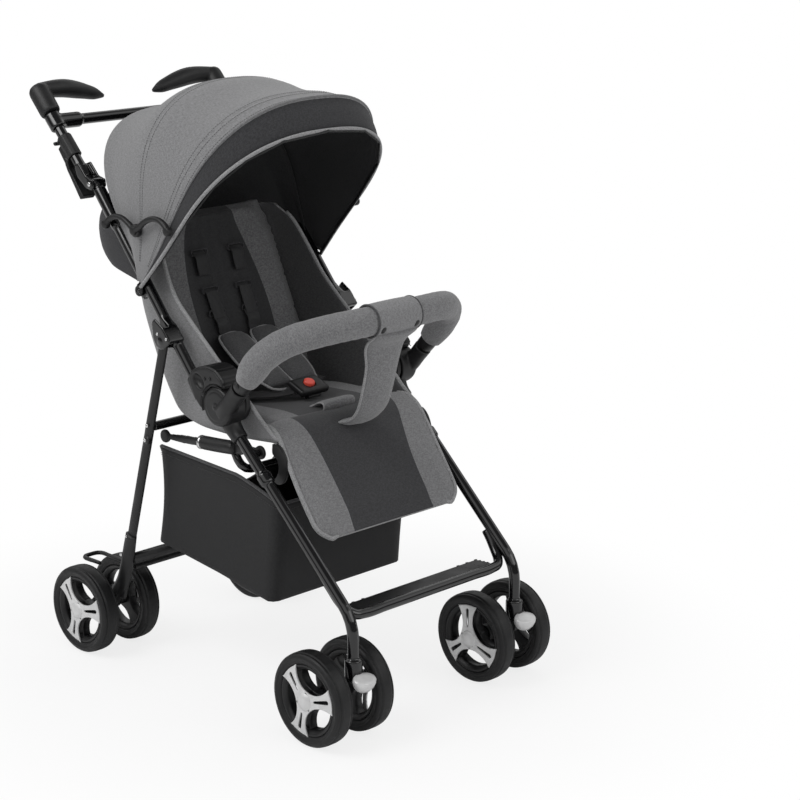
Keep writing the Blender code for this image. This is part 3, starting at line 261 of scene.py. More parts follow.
# %% Cloth recipes
def cloth(name, dark, light, uv=False, sheen=0.25, dash=1.0, rough=(0.82, 0.95)):
    r = Recipe(name)
    where = r.spots(uv)
    along_warp = r.noise(r.spots(uv, (1.0, 0.22, 0.35)), 900.0 * dash, 2.0)
    along_weft = r.noise(r.spots(uv, (0.22, 1.0, 0.6)), 900.0 * dash, 2.0)
    dashes = r.put("Math", {"operation": "ADD"}, _0=along_warp, _1=along_weft).outputs[0]
    tint = r.span(dashes, 0.0, 1.0, (0.82, 1.18))
    soft = r.noise(where, 9.0, 2.0)
    base = r.blend(tint, dark, light)
    shade = r.blend(r.span(soft, 0.0, 0.12), (1.0, 1.0, 1.0), (0.80, 0.80, 0.82))
    mixed = r.put("Mix", {"data_type": "RGBA", "blend_type": "MULTIPLY"}, _0=1.0)
    r.links.new(base, mixed.inputs[6])
    r.links.new(shade, mixed.inputs[7])
    warp = r.put("TexWave", {"bands_direction": "X"}, Vector=where, Scale=230.0,
                 Distortion=0.6).outputs["Fac"]
    weft = r.put("TexWave", {"bands_direction": "Y" if uv else "Z"}, Vector=where, Scale=230.0,
                 Distortion=0.6).outputs["Fac"]
    weave = r.put("Math", {"operation": "MAXIMUM"}, _0=warp, _1=weft).outputs[0]
    relief = r.put("Math", {"operation": "MULTIPLY_ADD"}, _0=dashes, _1=0.8, _2=weave).outputs[0]
    return r.finish(mixed.outputs[2], r.span(dashes, rough[0], rough[1], (0.7, 1.3)), relief, 0.00025, 0.45,
                    Sheen_Weight=sheen, Sheen_Roughness=0.55, Specular_IOR_Level=0.22)


HEATHER_SHEET = cloth("heather_sheet", (0.150, 0.150, 0.153), (0.245, 0.245, 0.250), uv=True)
HEATHER_PAD = cloth("heather_pad", (0.128, 0.128, 0.131), (0.215, 0.215, 0.220))
PIPING = cloth("piping_cloth", (0.190, 0.190, 0.193), (0.340, 0.340, 0.345), dash=1.4)
# The seat shell's inside takes a darker copy of the heather cloth: painted shade inside the seat.
SHADED_INNER_SHEET = cloth("inner_sheet_painted_shade", (0.070, 0.070, 0.072), (0.118, 0.118, 0.121), uv=True, sheen=0.12)
CHARCOAL_SHEET = cloth("charcoal_sheet", (0.027, 0.027, 0.029), (0.046, 0.046, 0.049), uv=True, sheen=0.12)
CHARCOAL_PAD = cloth("charcoal_pad", (0.027, 0.027, 0.029), (0.048, 0.048, 0.051), sheen=0.12)
DARK_GREY_PAD = cloth("dark_grey_pad", (0.050, 0.050, 0.052), (0.085, 0.085, 0.088), sheen=0.16)
LINING = cloth("lining_cloth", (0.022, 0.022, 0.023), (0.036, 0.036, 0.038), uv=True, sheen=0.10)
BASKET_CLOTH = cloth("basket_cloth", (0.0125, 0.0125, 0.0132), (0.021, 0.021, 0.022), uv=True, sheen=0.08,
                     rough=(0.55, 0.7))


def webbing(name, dark, light):
    # Webbing: ribs across the strap, from a wave along the strap's own map
    r = Recipe(name)
    where = r.spots(True)
    ribs = r.put("TexWave", {"bands_direction": "Y"}, Vector=where, Scale=160.0,
                 Distortion=0.4).outputs["Fac"]
    fuzz = r.noise(where, 1200.0, 2.0)
    colour = r.blend(r.put("Math", {"operation": "MULTIPLY"}, _0=ribs, _1=fuzz).outputs[0], dark, light)
    return r.finish(colour, r.span(fuzz, 0.62, 0.8), ribs, 0.0003, 0.6, Sheen_Weight=0.1)


WEBBING = webbing("webbing", (0.010, 0.010, 0.011), (0.040, 0.040, 0.042))


# %% [markdown]
# ### Hard finishes
# Moulded plastic has a fine grain and edges that wear a little lighter. Painted tube is smooth and
# glossy with a faint dust. Foam tyres are matt, and their tread side picks up pale scuffs.

# %% Hard recipes
def moulded(name, colour, low=0.34, high=0.52, grain=1500.0, depth=0.00008, coat=0.0):
    r = Recipe(name)
    where = r.spots()
    fine = r.noise(where, grain, 2.0)
    patch = r.noise(where, 22.0, 4.0)
    edge = r.put("NewGeometry").outputs["Pointiness"]
    worn = r.span(edge, 0.0, 0.5, (0.52, 0.62))
    light = tuple(min(1.0, c * 1.8 + 0.006) for c in colour)
    tone = r.blend(worn, colour, light)
    return r.finish(tone, r.span(patch, low, high), fine, depth, 0.35, Specular_IOR_Level=0.45,
                    Coat_Weight=coat, Coat_Roughness=0.12)


BLACK_PLASTIC = moulded("black_plastic_grain", (0.0075, 0.0075, 0.0080), 0.36, 0.50)
GRIP_PLASTIC = moulded("grip_plastic", (0.0085, 0.0085, 0.0090), 0.42, 0.56, 900.0, 0.00014)
RIM_PLASTIC = moulded("rim_plastic", (0.0045, 0.0045, 0.0050), 0.34, 0.46)
MATT_FRAME = moulded("matt_frame_paint", (0.0075, 0.0075, 0.0080), 0.36, 0.50, 2400.0, 0.00004)
GLOSS_FRAME = moulded("gloss_frame_paint", (0.0025, 0.0025, 0.0030), 0.09, 0.16, 2600.0, 0.00001, 0.5)
RED_PLASTIC = moulded("red_button_plastic", (0.760, 0.075, 0.050), 0.28, 0.40)


def foam(name):
    r = Recipe(name)
    where = r.spots()
    fine = r.noise(where, 1900.0, 3.0)
    scuff = r.noise(r.spots(False, (0.2, 1.0, 1.0)), 120.0, 5.0)
    tone = r.blend(r.span(scuff, 0.0, 0.6, (0.5, 0.8)), (0.0060, 0.0060, 0.0065), (0.020, 0.020, 0.020))
    return r.finish(tone, r.span(scuff, 0.42, 0.58), fine, 0.00010, 0.35, Specular_IOR_Level=0.40)


TYRE_FOAM = foam("tyre_foam")


def metal(name, colour, rough, metallic):
    r = Recipe(name)
    where = r.spots()
    patch = r.noise(where, 60.0, 4.0)
    fine = r.noise(where, 2600.0, 2.0)
    tone = r.blend(r.span(patch, 0.0, 1.0), colour, tuple(c * 0.88 for c in colour))
    return r.finish(tone, r.span(patch, rough[0], rough[1]), fine, 0.00002, 0.3, Metallic=metallic)


SILVER = metal("silver_paint", (0.70, 0.70, 0.70), (0.30, 0.40), 0.20)
STEEL = metal("bright_steel", (0.70, 0.70, 0.70), (0.16, 0.26), 1.0)
print(len(bpy.data.materials), "materials")


# %% [markdown]
# ### Finishes for the frame's own nodes
# Every node of the frame that stays visible gets one of these finishes by its name.

# %% Paint the frame
FINISHES = {
    "front_leg": GLOSS_FRAME, "fold_disc": BLACK_PLASTIC, "footrest": BLACK_PLASTIC,
    "push_tube": GLOSS_FRAME, "fold_housing": BLACK_PLASTIC, "handle_tube": GLOSS_FRAME,
    "grip": GRIP_PLASTIC, "handle_crossbar": GLOSS_FRAME, "rear_leg": MATT_FRAME,
    "rear_cross_tube": GLOSS_FRAME, "rear_axle": BLACK_PLASTIC, "side_rail": BLACK_PLASTIC,
    "rail_cross_tube": GLOSS_FRAME, "seat_base": CHARCOAL_PAD, "basket": BASKET_CLOTH,
    "buckle_button": RED_PLASTIC, "buckle": BLACK_PLASTIC, "backrest": HEATHER_PAD,
    "harness": CHARCOAL_PAD, "calf_rest": HEATHER_PAD, "bumper_bar": HEATHER_PAD,
    "bumper_button": BLACK_PLASTIC, "canopy_cover": HEATHER_PAD, "canopy_front_bow": BLACK_PLASTIC,
    "canopy_stay": BLACK_PLASTIC, "brake_bar": BLACK_PLASTIC, "caster_fork": BLACK_PLASTIC,
    "swivel_lock": SILVER, "lock_sleeve": BLACK_PLASTIC, "rim": RIM_PLASTIC, "tyre": TYRE_FOAM,
}
for node_name, node in frame["nodes"].items():
    stem = max((s for s in FINISHES if node_name.startswith(s)), key=len)
    node.data.materials.clear()
    node.data.materials.append(FINISHES[stem])
print(len(frame["nodes"]), "nodes painted")


# %% [markdown]
# ## Ways of making pieces
# Most pieces are nets of points: rows along the piece, columns across it. The net carries a map
# measured in metres, so a weave keeps its size. Tubes are nets wrapped round a path.

# %% Net and tube makers
def keep(obj, name=None):
    # Applies every modifier and leaves a plain mesh
    bpy.context.view_layer.update()
    evaluated = obj.evaluated_get(bpy.context.evaluated_depsgraph_get())
    mesh = bpy.data.meshes.new_from_object(evaluated)
    obj.modifiers.clear()
    obj.data = mesh
    if name:
        obj.name = name
    return obj


def new_object(name, mesh, *materials):
    obj = bpy.data.objects.new(name, mesh)
    bpy.context.scene.collection.objects.link(obj)
    for material in materials:
        mesh.materials.append(material)
    return obj


def net(name, rows, *materials, closed=False, caps=False, paint=None):
    # rows is a list of equal lists of points; closed joins the last column to the first
    grid = np.array([[tuple(p) for p in row] for row in rows], float)
    count, width = grid.shape[:2]
    columns = width if closed else width - 1
    faces = []
    slots = []
    for i in range(count - 1):
        for j in range(columns):
            k = (j + 1) % width
            faces.append((i * width + j, i * width + k, (i + 1) * width + k, (i + 1) * width + j))
            slots.append(paint(i, j) if paint else 0)
    if caps:
        faces.append(tuple(reversed(range(width))))
        faces.append(tuple((count - 1) * width + j for j in range(width)))
        slots += [0, 0]
    mesh = bpy.data.meshes.new(name)
    mesh.from_pydata(grid.reshape(-1, 3).tolist(), [], faces)
    across = np.concatenate([[0.0], np.cumsum(np.linalg.norm(np.diff(grid, axis=1), axis=2).mean(0))])
    down = np.concatenate([[0.0], np.cumsum(np.linalg.norm(np.diff(grid, axis=0), axis=2).mean(1))])
    layer = mesh.uv_layers.new(name="cloth_map")
    last = float(across[-1] + (across[-1] - across[-2]))
    for polygon in mesh.polygons:
        cell = polygon.index
        if cell >= (count - 1) * columns:
            continue
        i, j = divmod(cell, columns)
        wrap = last if closed and j == width - 1 else float(across[min(j + 1, width - 1)])
        corners = ((across[j], down[i]), (wrap, down[i]), (wrap, down[i + 1]), (across[j], down[i + 1]))
        for loop, uv in zip(polygon.loop_indices, corners):
            layer.data[loop].uv = uv
    mesh.polygons.foreach_set("material_index", slots)
    mesh.shade_smooth()
    return new_object(name, mesh, *materials)


def outward(obj, weld=0.00005):
    work = bmesh.new()
    work.from_mesh(obj.data)
    if weld:
        bmesh.ops.remove_doubles(work, verts=work.verts, dist=weld)
    bmesh.ops.recalc_face_normals(work, faces=work.faces)
    work.to_mesh(obj.data)
    work.free()
    return obj


def frames(path, first=X_AXIS):
    # At each path point, two directions square to the path that don't twist
    out = []
    side = None
    for i, point in enumerate(path):
        a = path[max(i - 1, 0)]
        b = path[min(i + 1, len(path) - 1)]
        ahead = (b - a).normalized()
        guide = first if side is None else side
        side = (guide - ahead * guide.dot(ahead)).normalized()
        out.append((point, side, ahead.cross(side).normalized()))
    return out


def tube(name, path, radius, material, sides=20, flat=None, first=X_AXIS, caps=True):
    # radius and flat may be one number or one for each path point
    rows = []
    for i, (point, side, other) in enumerate(frames(path, first)):
        r = radius[i] if hasattr(radius, "__len__") else radius
        f = r if flat is None else (flat[i] if hasattr(flat, "__len__") else flat)
        rows.append([point + side * math.cos(2 * math.pi * k / sides) * r
                     + other * math.sin(2 * math.pi * k / sides) * f for k in range(sides)])
    return outward(net(name, rows, material, closed=True, caps=caps))


def spun(name, profile, centre, material, axis=X_AXIS, sides=64, closed=True):
    # profile is (distance along the axis, radius), closed where it is a solid ring
    ring = []
    across = Vector((0.0, 0.0, 1.0)) if abs(axis.z) < 0.9 else X_AXIS
    u = (across - axis * across.dot(axis)).normalized()
    v = axis.cross(u)
    for k in range(sides):
        turn = 2 * math.pi * k / sides
        arm = u * math.cos(turn) + v * math.sin(turn)
        ring.append([centre + axis * a + arm * r for a, r in profile])
    ring.append(ring[0])
    obj = net(name, ring, material, closed=closed)
    return outward(obj)


def join(name, *parts):
    # One piece from several, with its materials kept
    materials = []
    work = bmesh.new()
    for part in parts:
        start = len(work.faces)
        work.from_mesh(part.data)
        work.faces.ensure_lookup_table()
        for face in work.faces[start:]:
            material = part.data.materials[face.material_index]
            if material not in materials:
                materials.append(material)
            face.material_index = materials.index(material)
    mesh = bpy.data.meshes.new(name)
    work.to_mesh(mesh)
    work.free()
    for part in parts:
        bpy.data.objects.remove(part)
    return new_object(name, mesh, *materials)


# %% [markdown]
# ## What repeats
# Stitches, screws, spokes and dimples repeat along a line or round a hub. Geometry Nodes make
# them: one tree sets a small shape on every point of a path, another sets it round an axle. The
# trees have named inputs, and their result becomes a plain mesh.

# %% Tree helpers
class Tree:
    def __init__(self, name, **inputs):
        self.group = bpy.data.node_groups.new(name, "GeometryNodeTree")
        face = self.group.interface
        face.new_socket("Geometry", in_out="INPUT", socket_type="NodeSocketGeometry")
        for label, value in inputs.items():
            kind = {int: "Int", float: "Float", tuple: "Vector"}.get(type(value), "Material")
            made = face.new_socket(label, in_out="INPUT", socket_type="NodeSocket" + kind)
            if value is not None:
                made.default_value = value
        face.new_socket("Geometry", in_out="OUTPUT", socket_type="NodeSocketGeometry")
        self.source = self.group.nodes.new("NodeGroupInput")
        self.target = self.group.nodes.new("NodeGroupOutput")

    def add(self, kind, settings=None, **inputs):
        node = self.group.nodes.new(kind)
        for key, value in (settings or {}).items():
            setattr(node, key, value)
        for key, value in inputs.items():
            numbered = key[0] == "_" and key[1:].isdigit()
            socket = node.inputs[int(key[1:]) if numbered else key.replace("_", " ")]
            if isinstance(value, bpy.types.NodeSocket):
                self.group.links.new(value, socket)
            else:
                socket.default_value = value
        return node

    def end(self, geometry):
        made = self.add("GeometryNodeRealizeInstances", Geometry=geometry)
        painted = self.add("GeometryNodeSetMaterial", Geometry=made.outputs[0],
                           Material=self.source.outputs["Material"])
        smooth = self.add("GeometryNodeSetShadeSmooth", Geometry=painted.outputs[0])
        self.group.links.new(smooth.outputs[0], self.target.inputs[0])
        return self.group


def grow(name, base, group, **values):
    # Runs a tree on a base object, whose mesh becomes the result
    modifier = base.modifiers.new("tree", "NODES")
    modifier.node_group = group
    for item in group.interface.items_tree:
        if item.in_out == "INPUT" and item.name in values:
            modifier[item.identifier] = values[item.name]
    return keep(base, name)


# %% The stitch tree
stitch_tree = Tree("stitches", Pitch=0.0042, Length=0.0026, Thickness=0.0006, Material=None)
inp = stitch_tree.source.outputs
line = stitch_tree.add("GeometryNodeMeshToCurve", Mesh=inp["Geometry"])
even = stitch_tree.add("GeometryNodeResampleCurve", {"mode": "LENGTH"}, Curve=line.outputs[0],
                       Length=inp["Pitch"])
spots = stitch_tree.add("GeometryNodeCurveToPoints", {"mode": "EVALUATED"}, Curve=even.outputs[0])
turned = stitch_tree.add("FunctionNodeAlignRotationToVector", {"axis": "Z"},
                         Vector=spots.outputs["Tangent"])
half_length = stitch_tree.add("ShaderNodeMath", {"operation": "MULTIPLY"}, _0=inp["Length"], _1=0.5)
shape = stitch_tree.add("ShaderNodeCombineXYZ", X=inp["Thickness"], Y=inp["Thickness"],
                        Z=half_length.outputs[0])
thread = stitch_tree.add("GeometryNodeMeshUVSphere", Segments=6, Rings=4, Radius=1.0)
sewn = stitch_tree.add("GeometryNodeInstanceOnPoints", Points=spots.outputs["Points"],
                       Instance=thread.outputs["Mesh"], Rotation=turned.outputs["Rotation"],
                       Scale=shape.outputs[0])
STITCHES = stitch_tree.end(sewn.outputs[0])

# %% The tree that sets copies round an axle
around_tree = Tree("around_axle", Count=3, Start=0.0, Centre=(0.0, 0.0, 0.0), Facing=1.0, Material=None)
inp = around_tree.source.outputs
points = around_tree.add("GeometryNodeMeshLine", {"mode": "OFFSET"}, Count=inp["Count"],
                         Offset=(0.0, 0.0, 0.0),
                         Start_Location=inp["Centre"])
number = around_tree.add("GeometryNodeInputIndex")
share = around_tree.add("ShaderNodeMath", {"operation": "DIVIDE"}, _0=math.tau, _1=inp["Count"])
angle = around_tree.add("ShaderNodeMath", {"operation": "MULTIPLY_ADD"}, _0=number.outputs[0],
                        _1=share.outputs[0], _2=inp["Start"])
roll = around_tree.add("ShaderNodeCombineXYZ", X=angle.outputs[0])
flip = around_tree.add("ShaderNodeCombineXYZ", X=inp["Facing"], Y=1.0, Z=1.0)
copies = around_tree.add("GeometryNodeInstanceOnPoints", Points=points.outputs[0], Instance=inp["Geometry"],
                         Rotation=roll.outputs[0], Scale=flip.outputs[0])
AROUND = around_tree.end(copies.outputs[0])

# %% The tree that sets small domes on points
dome_tree = Tree("domes", Size=(0.0025, 0.0025, 0.0012), Material=None)
inp = dome_tree.source.outputs
vertices = dome_tree.add("GeometryNodeMeshToPoints", Mesh=inp["Geometry"])
normal = dome_tree.add("GeometryNodeInputNamedAttribute", {"data_type": "FLOAT_VECTOR"}, Name="facing")
lean = dome_tree.add("FunctionNodeAlignRotationToVector", {"axis": "Z"}, Vector=normal.outputs[0])
dome = dome_tree.add("GeometryNodeMeshUVSphere", Segments=14, Rings=8, Radius=1.0)
set_down = dome_tree.add("GeometryNodeInstanceOnPoints", Points=vertices.outputs[0],
                         Instance=dome.outputs[0],
                         Rotation=lean.outputs[0], Scale=inp["Size"])
DOMES = dome_tree.end(set_down.outputs[0])


# %% Short ways to use the trees
def polyline(name, paths):
    points = []
    edges = []
    for path in paths:
        first = len(points)
        points += [tuple(p) for p in path]
        edges += [(i, i + 1) for i in range(first, len(points) - 1)]
    mesh = bpy.data.meshes.new(name)
    mesh.from_pydata(points, edges, [])
    return new_object(name, mesh)


def stitches(name, paths, material, body, pitch=0.0042, length=0.0028, thickness=0.00045):
    piece = grow(name, polyline(name, paths), STITCHES, Pitch=pitch, Length=length, Thickness=thickness,
                 Material=material)
    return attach(outward(piece, 0.0), body) if body else outward(piece, 0.0)


def domes(name, spots, facings, size, material, body):
    mesh = bpy.data.meshes.new(name)
    mesh.from_pydata([tuple(p) for p in spots], [], [])
    layer = mesh.attributes.new("facing", "FLOAT_VECTOR", "POINT")
    layer.data.foreach_set("vector", [float(v) for f in facings for v in f])
    piece = grow(name, new_object(name, mesh), DOMES, Size=size, Material=material)
    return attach(outward(piece, 0.0), body)


print("three trees ready")


# %% [markdown]
# ## Wheels
# Each wheel is a foam ring on a moulded rim with three rounded windows. The faces that look away
# from the fork carry a silver insert of three flared arms, each with a slot. The tyre and rim are
# spun, one black spoke and one silver arm are drawn, and the tree sets them round the axle.

# %% Tyre and rim rings
SEAT_R = 0.0575


def tyre_profile():
    # Half section: side wall, two shoulder grooves, a slightly crowned tread
    half = [(0.0, 0.0), (0.0060, 0.0), (0.0092, -0.0004), (0.0098, -0.0016), (0.0112, -0.0016),
            (0.0118, -0.0008), (0.0142, -0.0022), (0.0160, -0.0046), (0.0172, -0.0080), (0.0170, -0.0105),
            (0.0162, -0.0112),
            (0.0162, -0.0124), (0.0156, -0.0150), (0.0130, SEAT_R - WHEEL_R)]
    outer = [(a, WHEEL_R + r) for a, r in half]
    return [(-a, r) for a, r in reversed(outer[1:])] + outer


def rim_profile():
    half = [(0.0130, SEAT_R), (0.0140, SEAT_R - 0.0012), (0.0128, 0.0535), (0.0105, 0.0500),
            (0.0075, 0.0482), (0.0060, 0.0478)]
    return [(-a, r) for a, r in half] + [(a, r) for a, r in reversed(half)]


# %% A black spoke and a silver arm, drawn flat
SPOKE = [(0.0060, 0.0160), (0.0120, 0.0128), (0.0180, 0.0100), (0.0250, 0.0088), (0.0320, 0.0092),
         (0.0390, 0.0112), (0.0450, 0.0146), (0.0505, 0.0200)]
HUB_CAP = [(-0.0030, 0.0), (-0.0030, 0.0150), (0.0014, 0.0154), (0.0030, 0.0138), (0.0048, 0.0112),
           (0.0062, 0.0080), (0.0067, 0.0040), (0.0068, 0.0)]
SILVER_OUT = 0.0175
ARM = [(0.0040, 0.0180), (0.0090, 0.0148), (0.0150, 0.0118), (0.0220, 0.0099), (0.0300, 0.0094),
       (0.0380, 0.0106), (0.0440, 0.0127), (0.0500, 0.0158), (0.0545, 0.0190)]


def flat_piece(name, outline, depth, bevel, holes=()):
    # Outline and holes lie in the wheel's plane; the curve gives them thickness and a rounded edge
    curve = bpy.data.curves.new(name, "CURVE")
    curve.dimensions = "2D"
    curve.fill_mode = "BOTH"
    curve.extrude = depth / 2 - bevel
    curve.bevel_depth = bevel
    curve.bevel_resolution = 1
    for loop in (outline, *holes):
        spline = curve.splines.new("POLY")
        spline.points.add(len(loop) - 1)
        spline.points.foreach_set("co", [v for x, y in loop for v in (x, y, 0.0, 1.0)])
        spline.use_cyclic_u = True
    obj = bpy.data.objects.new(name, curve)
    bpy.context.scene.collection.objects.link(obj)
    bpy.context.view_layer.update()
    mesh = bpy.data.meshes.new_from_object(obj.evaluated_get(bpy.context.evaluated_depsgraph_get()))
    bpy.data.objects.remove(obj)
    mesh.transform(Matrix(((0, 0, 1, 0), (1, 0, 0, 0), (0, 1, 0, 0), (0, 0, 0, 1))))
    mesh.shade_smooth()
    return mesh


def flared(half_widths, end_radius):
    # The outline of an arm that points up: its sides, then an end that follows the rim
    side = [(w, r) for r, w in half_widths]
    last = math.asin(side[-1][0] / end_radius)
    end = [(end_radius * math.sin(a), end_radius * math.cos(a)) for a in np.linspace(last, -last, 9)]
    return side + end[1:-1] + [(-w, r) for w, r in reversed(side)]


def slot_outline(low, high, wide, narrow):
    top = [(wide * math.cos(a), high + wide * math.sin(a)) for a in np.linspace(0.0, math.pi, 8)]
    bottom = [(narrow * math.cos(a), low + narrow * math.sin(a)) for a in np.linspace(math.pi, math.tau, 8)]
    return list(reversed(top + bottom))


spoke_mesh = flat_piece("spoke", flared(SPOKE, 0.0500), 0.0150, 0.0012)
arm_mesh = flat_piece("arm", flared(ARM, 0.0565), 0.0030, 0.0007,
                      [slot_outline(0.0225, 0.0480, 0.0041, 0.0027)])
for vertex in arm_mesh.vertices:
    vertex.co.x += 0.0004 - 2.2 * max(0.0, vertex.co.z - 0.012) ** 2


# %% Build the eight wheels
def wheel(place_name, side_name, which):
    sign = -1.0 if side_name == "right" else 1.0
    x = sign * ((FRONT_X if place_name == "front" else REAR_X)
                + (TWIN / 2 if which == "outer" else -TWIN / 2))
    y = 0.0 if place_name == "front" else REAR_AXLE_Y
    centre = place(x, y, AXLE_Z)
    stem = "_".join((place_name, side_name, which))
    body = "wheel_" + stem
    out = sign if which == "outer" else -sign
    tyre = spun("foam_" + stem, tyre_profile(), centre, TYRE_FOAM, sides=72)
    rim = spun("rim_ring_" + stem, rim_profile(), centre, RIM_PLASTIC, sides=60)
    hub = spun("rim_hub_" + stem, [(-0.0188, 0.0044), (-0.0188, 0.0102), (-0.0172, 0.0114),
                                   (0.0172, 0.0114),
                                   (0.0188, 0.0102), (0.0188, 0.0044)], centre, RIM_PLASTIC, sides=32)
    spokes = grow("spokes_" + stem, new_object("spokes", spoke_mesh.copy()), AROUND, Count=3,
                  Start=math.radians(WHEEL_TURN[stem]),
                  Centre=tuple(centre), Facing=out, Material=RIM_PLASTIC)
    arms = grow("silver_arms_" + stem, new_object("arms", arm_mesh.copy()), AROUND, Count=3,
                Start=math.radians(WHEEL_TURN[stem]), Centre=tuple(centre + X_AXIS * out * SILVER_OUT),
                Facing=out, Material=SILVER)
    cap = spun("silver_hub_" + stem, HUB_CAP, centre + X_AXIS * out * SILVER_OUT, SILVER, axis=X_AXIS * out,
               sides=32, closed=False)
    black = join("rim_" + stem + "_moulded", rim, hub, spokes)
    silver = join("silver_insert_" + stem, arms, cap)
    outward(black, 0.0)
    outward(silver, 0.0)
    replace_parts(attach(tyre, body), "tyre_" + stem)
    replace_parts(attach(black, body), "rim_" + stem)
    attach(silver, body)


WHEEL_TURN = {
    "front_right_outer": -43.0, "front_right_inner": 60.0, "front_left_outer": 10.0,
    "front_left_inner": -7.0,
    "rear_right_outer": -41.0, "rear_right_inner": 20.0, "rear_left_outer": 50.0, "rear_left_inner": 15.0,
}
for place_name in ("front", "rear"):
    for side_name in ("right", "left"):
        for which in ("outer", "inner"):
            wheel(place_name, side_name, which)
print("eight wheels on their axles")


# %% [markdown]
# ## Canopy
# The canopy is one sewn sheet that fans out from the clips on the push tubes. Hoops hold it at the
# back, at the dark front panel and at the front edge, and the cloth sinks a little between them.
# It is a net of arches, one for each angle round the clips, with a thin wall whose inner face is
# the dark lining.

# %% Arches of the canopy
HALF = 0.1925
LIGHT_END = 124.5
FRONT_EDGE = 132.0
SEAMS = (93.0, 118.5)
FAN_START = 60.0
FAN_ANGLES = [60.0, 66.5, 74.0, 81.0, 90.0, 97.0, 105.0, 112.0, 118.0, 124.4, 124.6, 128.0, 132.0]
FAN_REACH = [0.3120, 0.3040, 0.3030, 0.3095, 0.3275, 0.3310, 0.3330, 0.3420, 0.3590, 0.3795, 0.3770, 0.3690,
             0.3540]


def arch(angle, half, reach, low, count, power=2.5, flare=0.0065):
    # Points from the right clip over the top to the left clip, evenly spaced
    shoulder = reach * 0.45
    outline = [(half + flare * max(0.0, 1.0 - s / 0.10) ** 1.5, s) for s in np.linspace(low, shoulder, 12)]
    for turn in np.linspace(0.0, math.pi / 2, 40)[1:]:
        outline.append((math.cos(turn) ** (2.0 / power) * half if turn < math.pi / 2 - 1e-9 else 0.0,
                        shoulder + (reach - shoulder) * math.sin(turn) ** (2.0 / power)))
    whole = [(-x, s) for x, s in outline] + [(x, s) for x, s in reversed(outline[:-1])]
    whole = np.array(whole)
    walk = np.concatenate([[0.0], np.cumsum(np.linalg.norm(np.diff(whole, axis=0), axis=1))])
    at = np.linspace(0.0, walk[-1], count)
    xs = np.interp(at, walk, whole[:, 0])
    ss = np.interp(at, walk, whole[:, 1])
    c = math.cos(math.radians(angle))
    s = math.sin(math.radians(angle))
    return [place(x, PIVOT_P[0] + c * r, PIVOT_P[1] + s * r) for x, r in zip(xs, ss)]


def fan_reach(angle):
    if angle > LIGHT_END:
        return float(np.interp(angle, FAN_ANGLES[10:], FAN_REACH[10:]))
    sag = 0.0
    for a, b in zip((FAN_START, *SEAMS), (*SEAMS, 124.4)):
        if a < angle < b:
            sag = 0.0025 * math.sin(math.pi * (angle - a) / (b - a)) ** 2
    groove = sum(0.0013 * math.exp(-((angle - seam) / 0.45) ** 2) for seam in SEAMS)
    return float(through(FAN_ANGLES[:10], FAN_REACH[:10], [angle])[0]) - sag - groove


def fan_half(angle):
    return 0.1860 + (HALF - 0.1860) * min(1.0, max(0.0, (angle - 66.5) / 12.0)) ** 0.7


fan_rows = sorted(set([FAN_START + 1.45 * k for k in range(45)]
                      + [s + d for s in SEAMS for d in (-0.8, -0.4, 0.0, 0.4, 0.8)]
                      + [124.4, 124.6, 126.5, 128.5, 130.5, 132.0]))
fan_rows = [a for a in fan_rows if a <= 124.4 or a >= 124.6]
canopy_rows = [arch(a, fan_half(a), fan_reach(a), 0.016, 73) for a in fan_rows]
canopy = net("canopy_cloth", canopy_rows, HEATHER_SHEET, LINING, CHARCOAL_SHEET, LINING,
             paint=lambda i, j: 2 if fan_rows[i] >= LIGHT_END else 0)
outward(canopy, 0.0)


def faces_out(obj, inside):
    # An open net is turned so that its faces look away from a point inside
    work = bmesh.new()
    work.from_mesh(obj.data)
    total = sum((f.calc_center_median() - inside).dot(f.normal) * f.calc_area() for f in work.faces)
    if total < 0.0:
        bmesh.ops.reverse_faces(work, faces=work.faces)
    work.to_mesh(obj.data)
    work.free()
    return obj


def thicken(obj, thickness, offset=-1.0, lining=0):
    wall = obj.modifiers.new("wall", "SOLIDIFY")
    wall.thickness = thickness
    wall.offset = offset
    wall.material_offset = lining
    wall.material_offset_rim = 0
    return keep(obj)


faces_out(canopy, place(0.0, 0.42, 0.70))
thicken(canopy, 0.0016, lining=1)


def with_canopy(piece):
    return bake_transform(piece)


with_canopy(canopy)
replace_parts(canopy, "canopy_cover")

# %% Hems, piping and the seams' top stitching
front_path = arch(FRONT_EDGE, HALF + 0.0005, 0.3545, 0.010, 90)
front_piping = tube("canopy_front_piping", front_path, 0.0030, PIPING, sides=10)
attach(front_piping, "canopy_bow")
hem_path = arch(LIGHT_END - 0.3, HALF + 0.0006, 0.3798, 0.022, 90)
hem = tube("canopy_hem", hem_path, 0.0019, HEATHER_PAD, sides=8)
with_canopy(hem)
seam_lines = []
for seam in SEAMS:
    for step in (-1.1, 1.1):
        seam_lines.append(arch(seam + step, fan_half(seam) + 0.0003, fan_reach(seam + step) + 0.0003, 0.05,
                               160))
seam_lines.append(arch(LIGHT_END - 1.5, HALF + 0.0003, fan_reach(LIGHT_END - 1.5) + 0.0003, 0.05, 180))
THREAD = webbing("sewing_thread", (0.055, 0.055, 0.057), (0.10, 0.10, 0.105))
canopy_stitches = stitches("canopy_stitching", seam_lines, THREAD, None)
with_canopy(canopy_stitches)
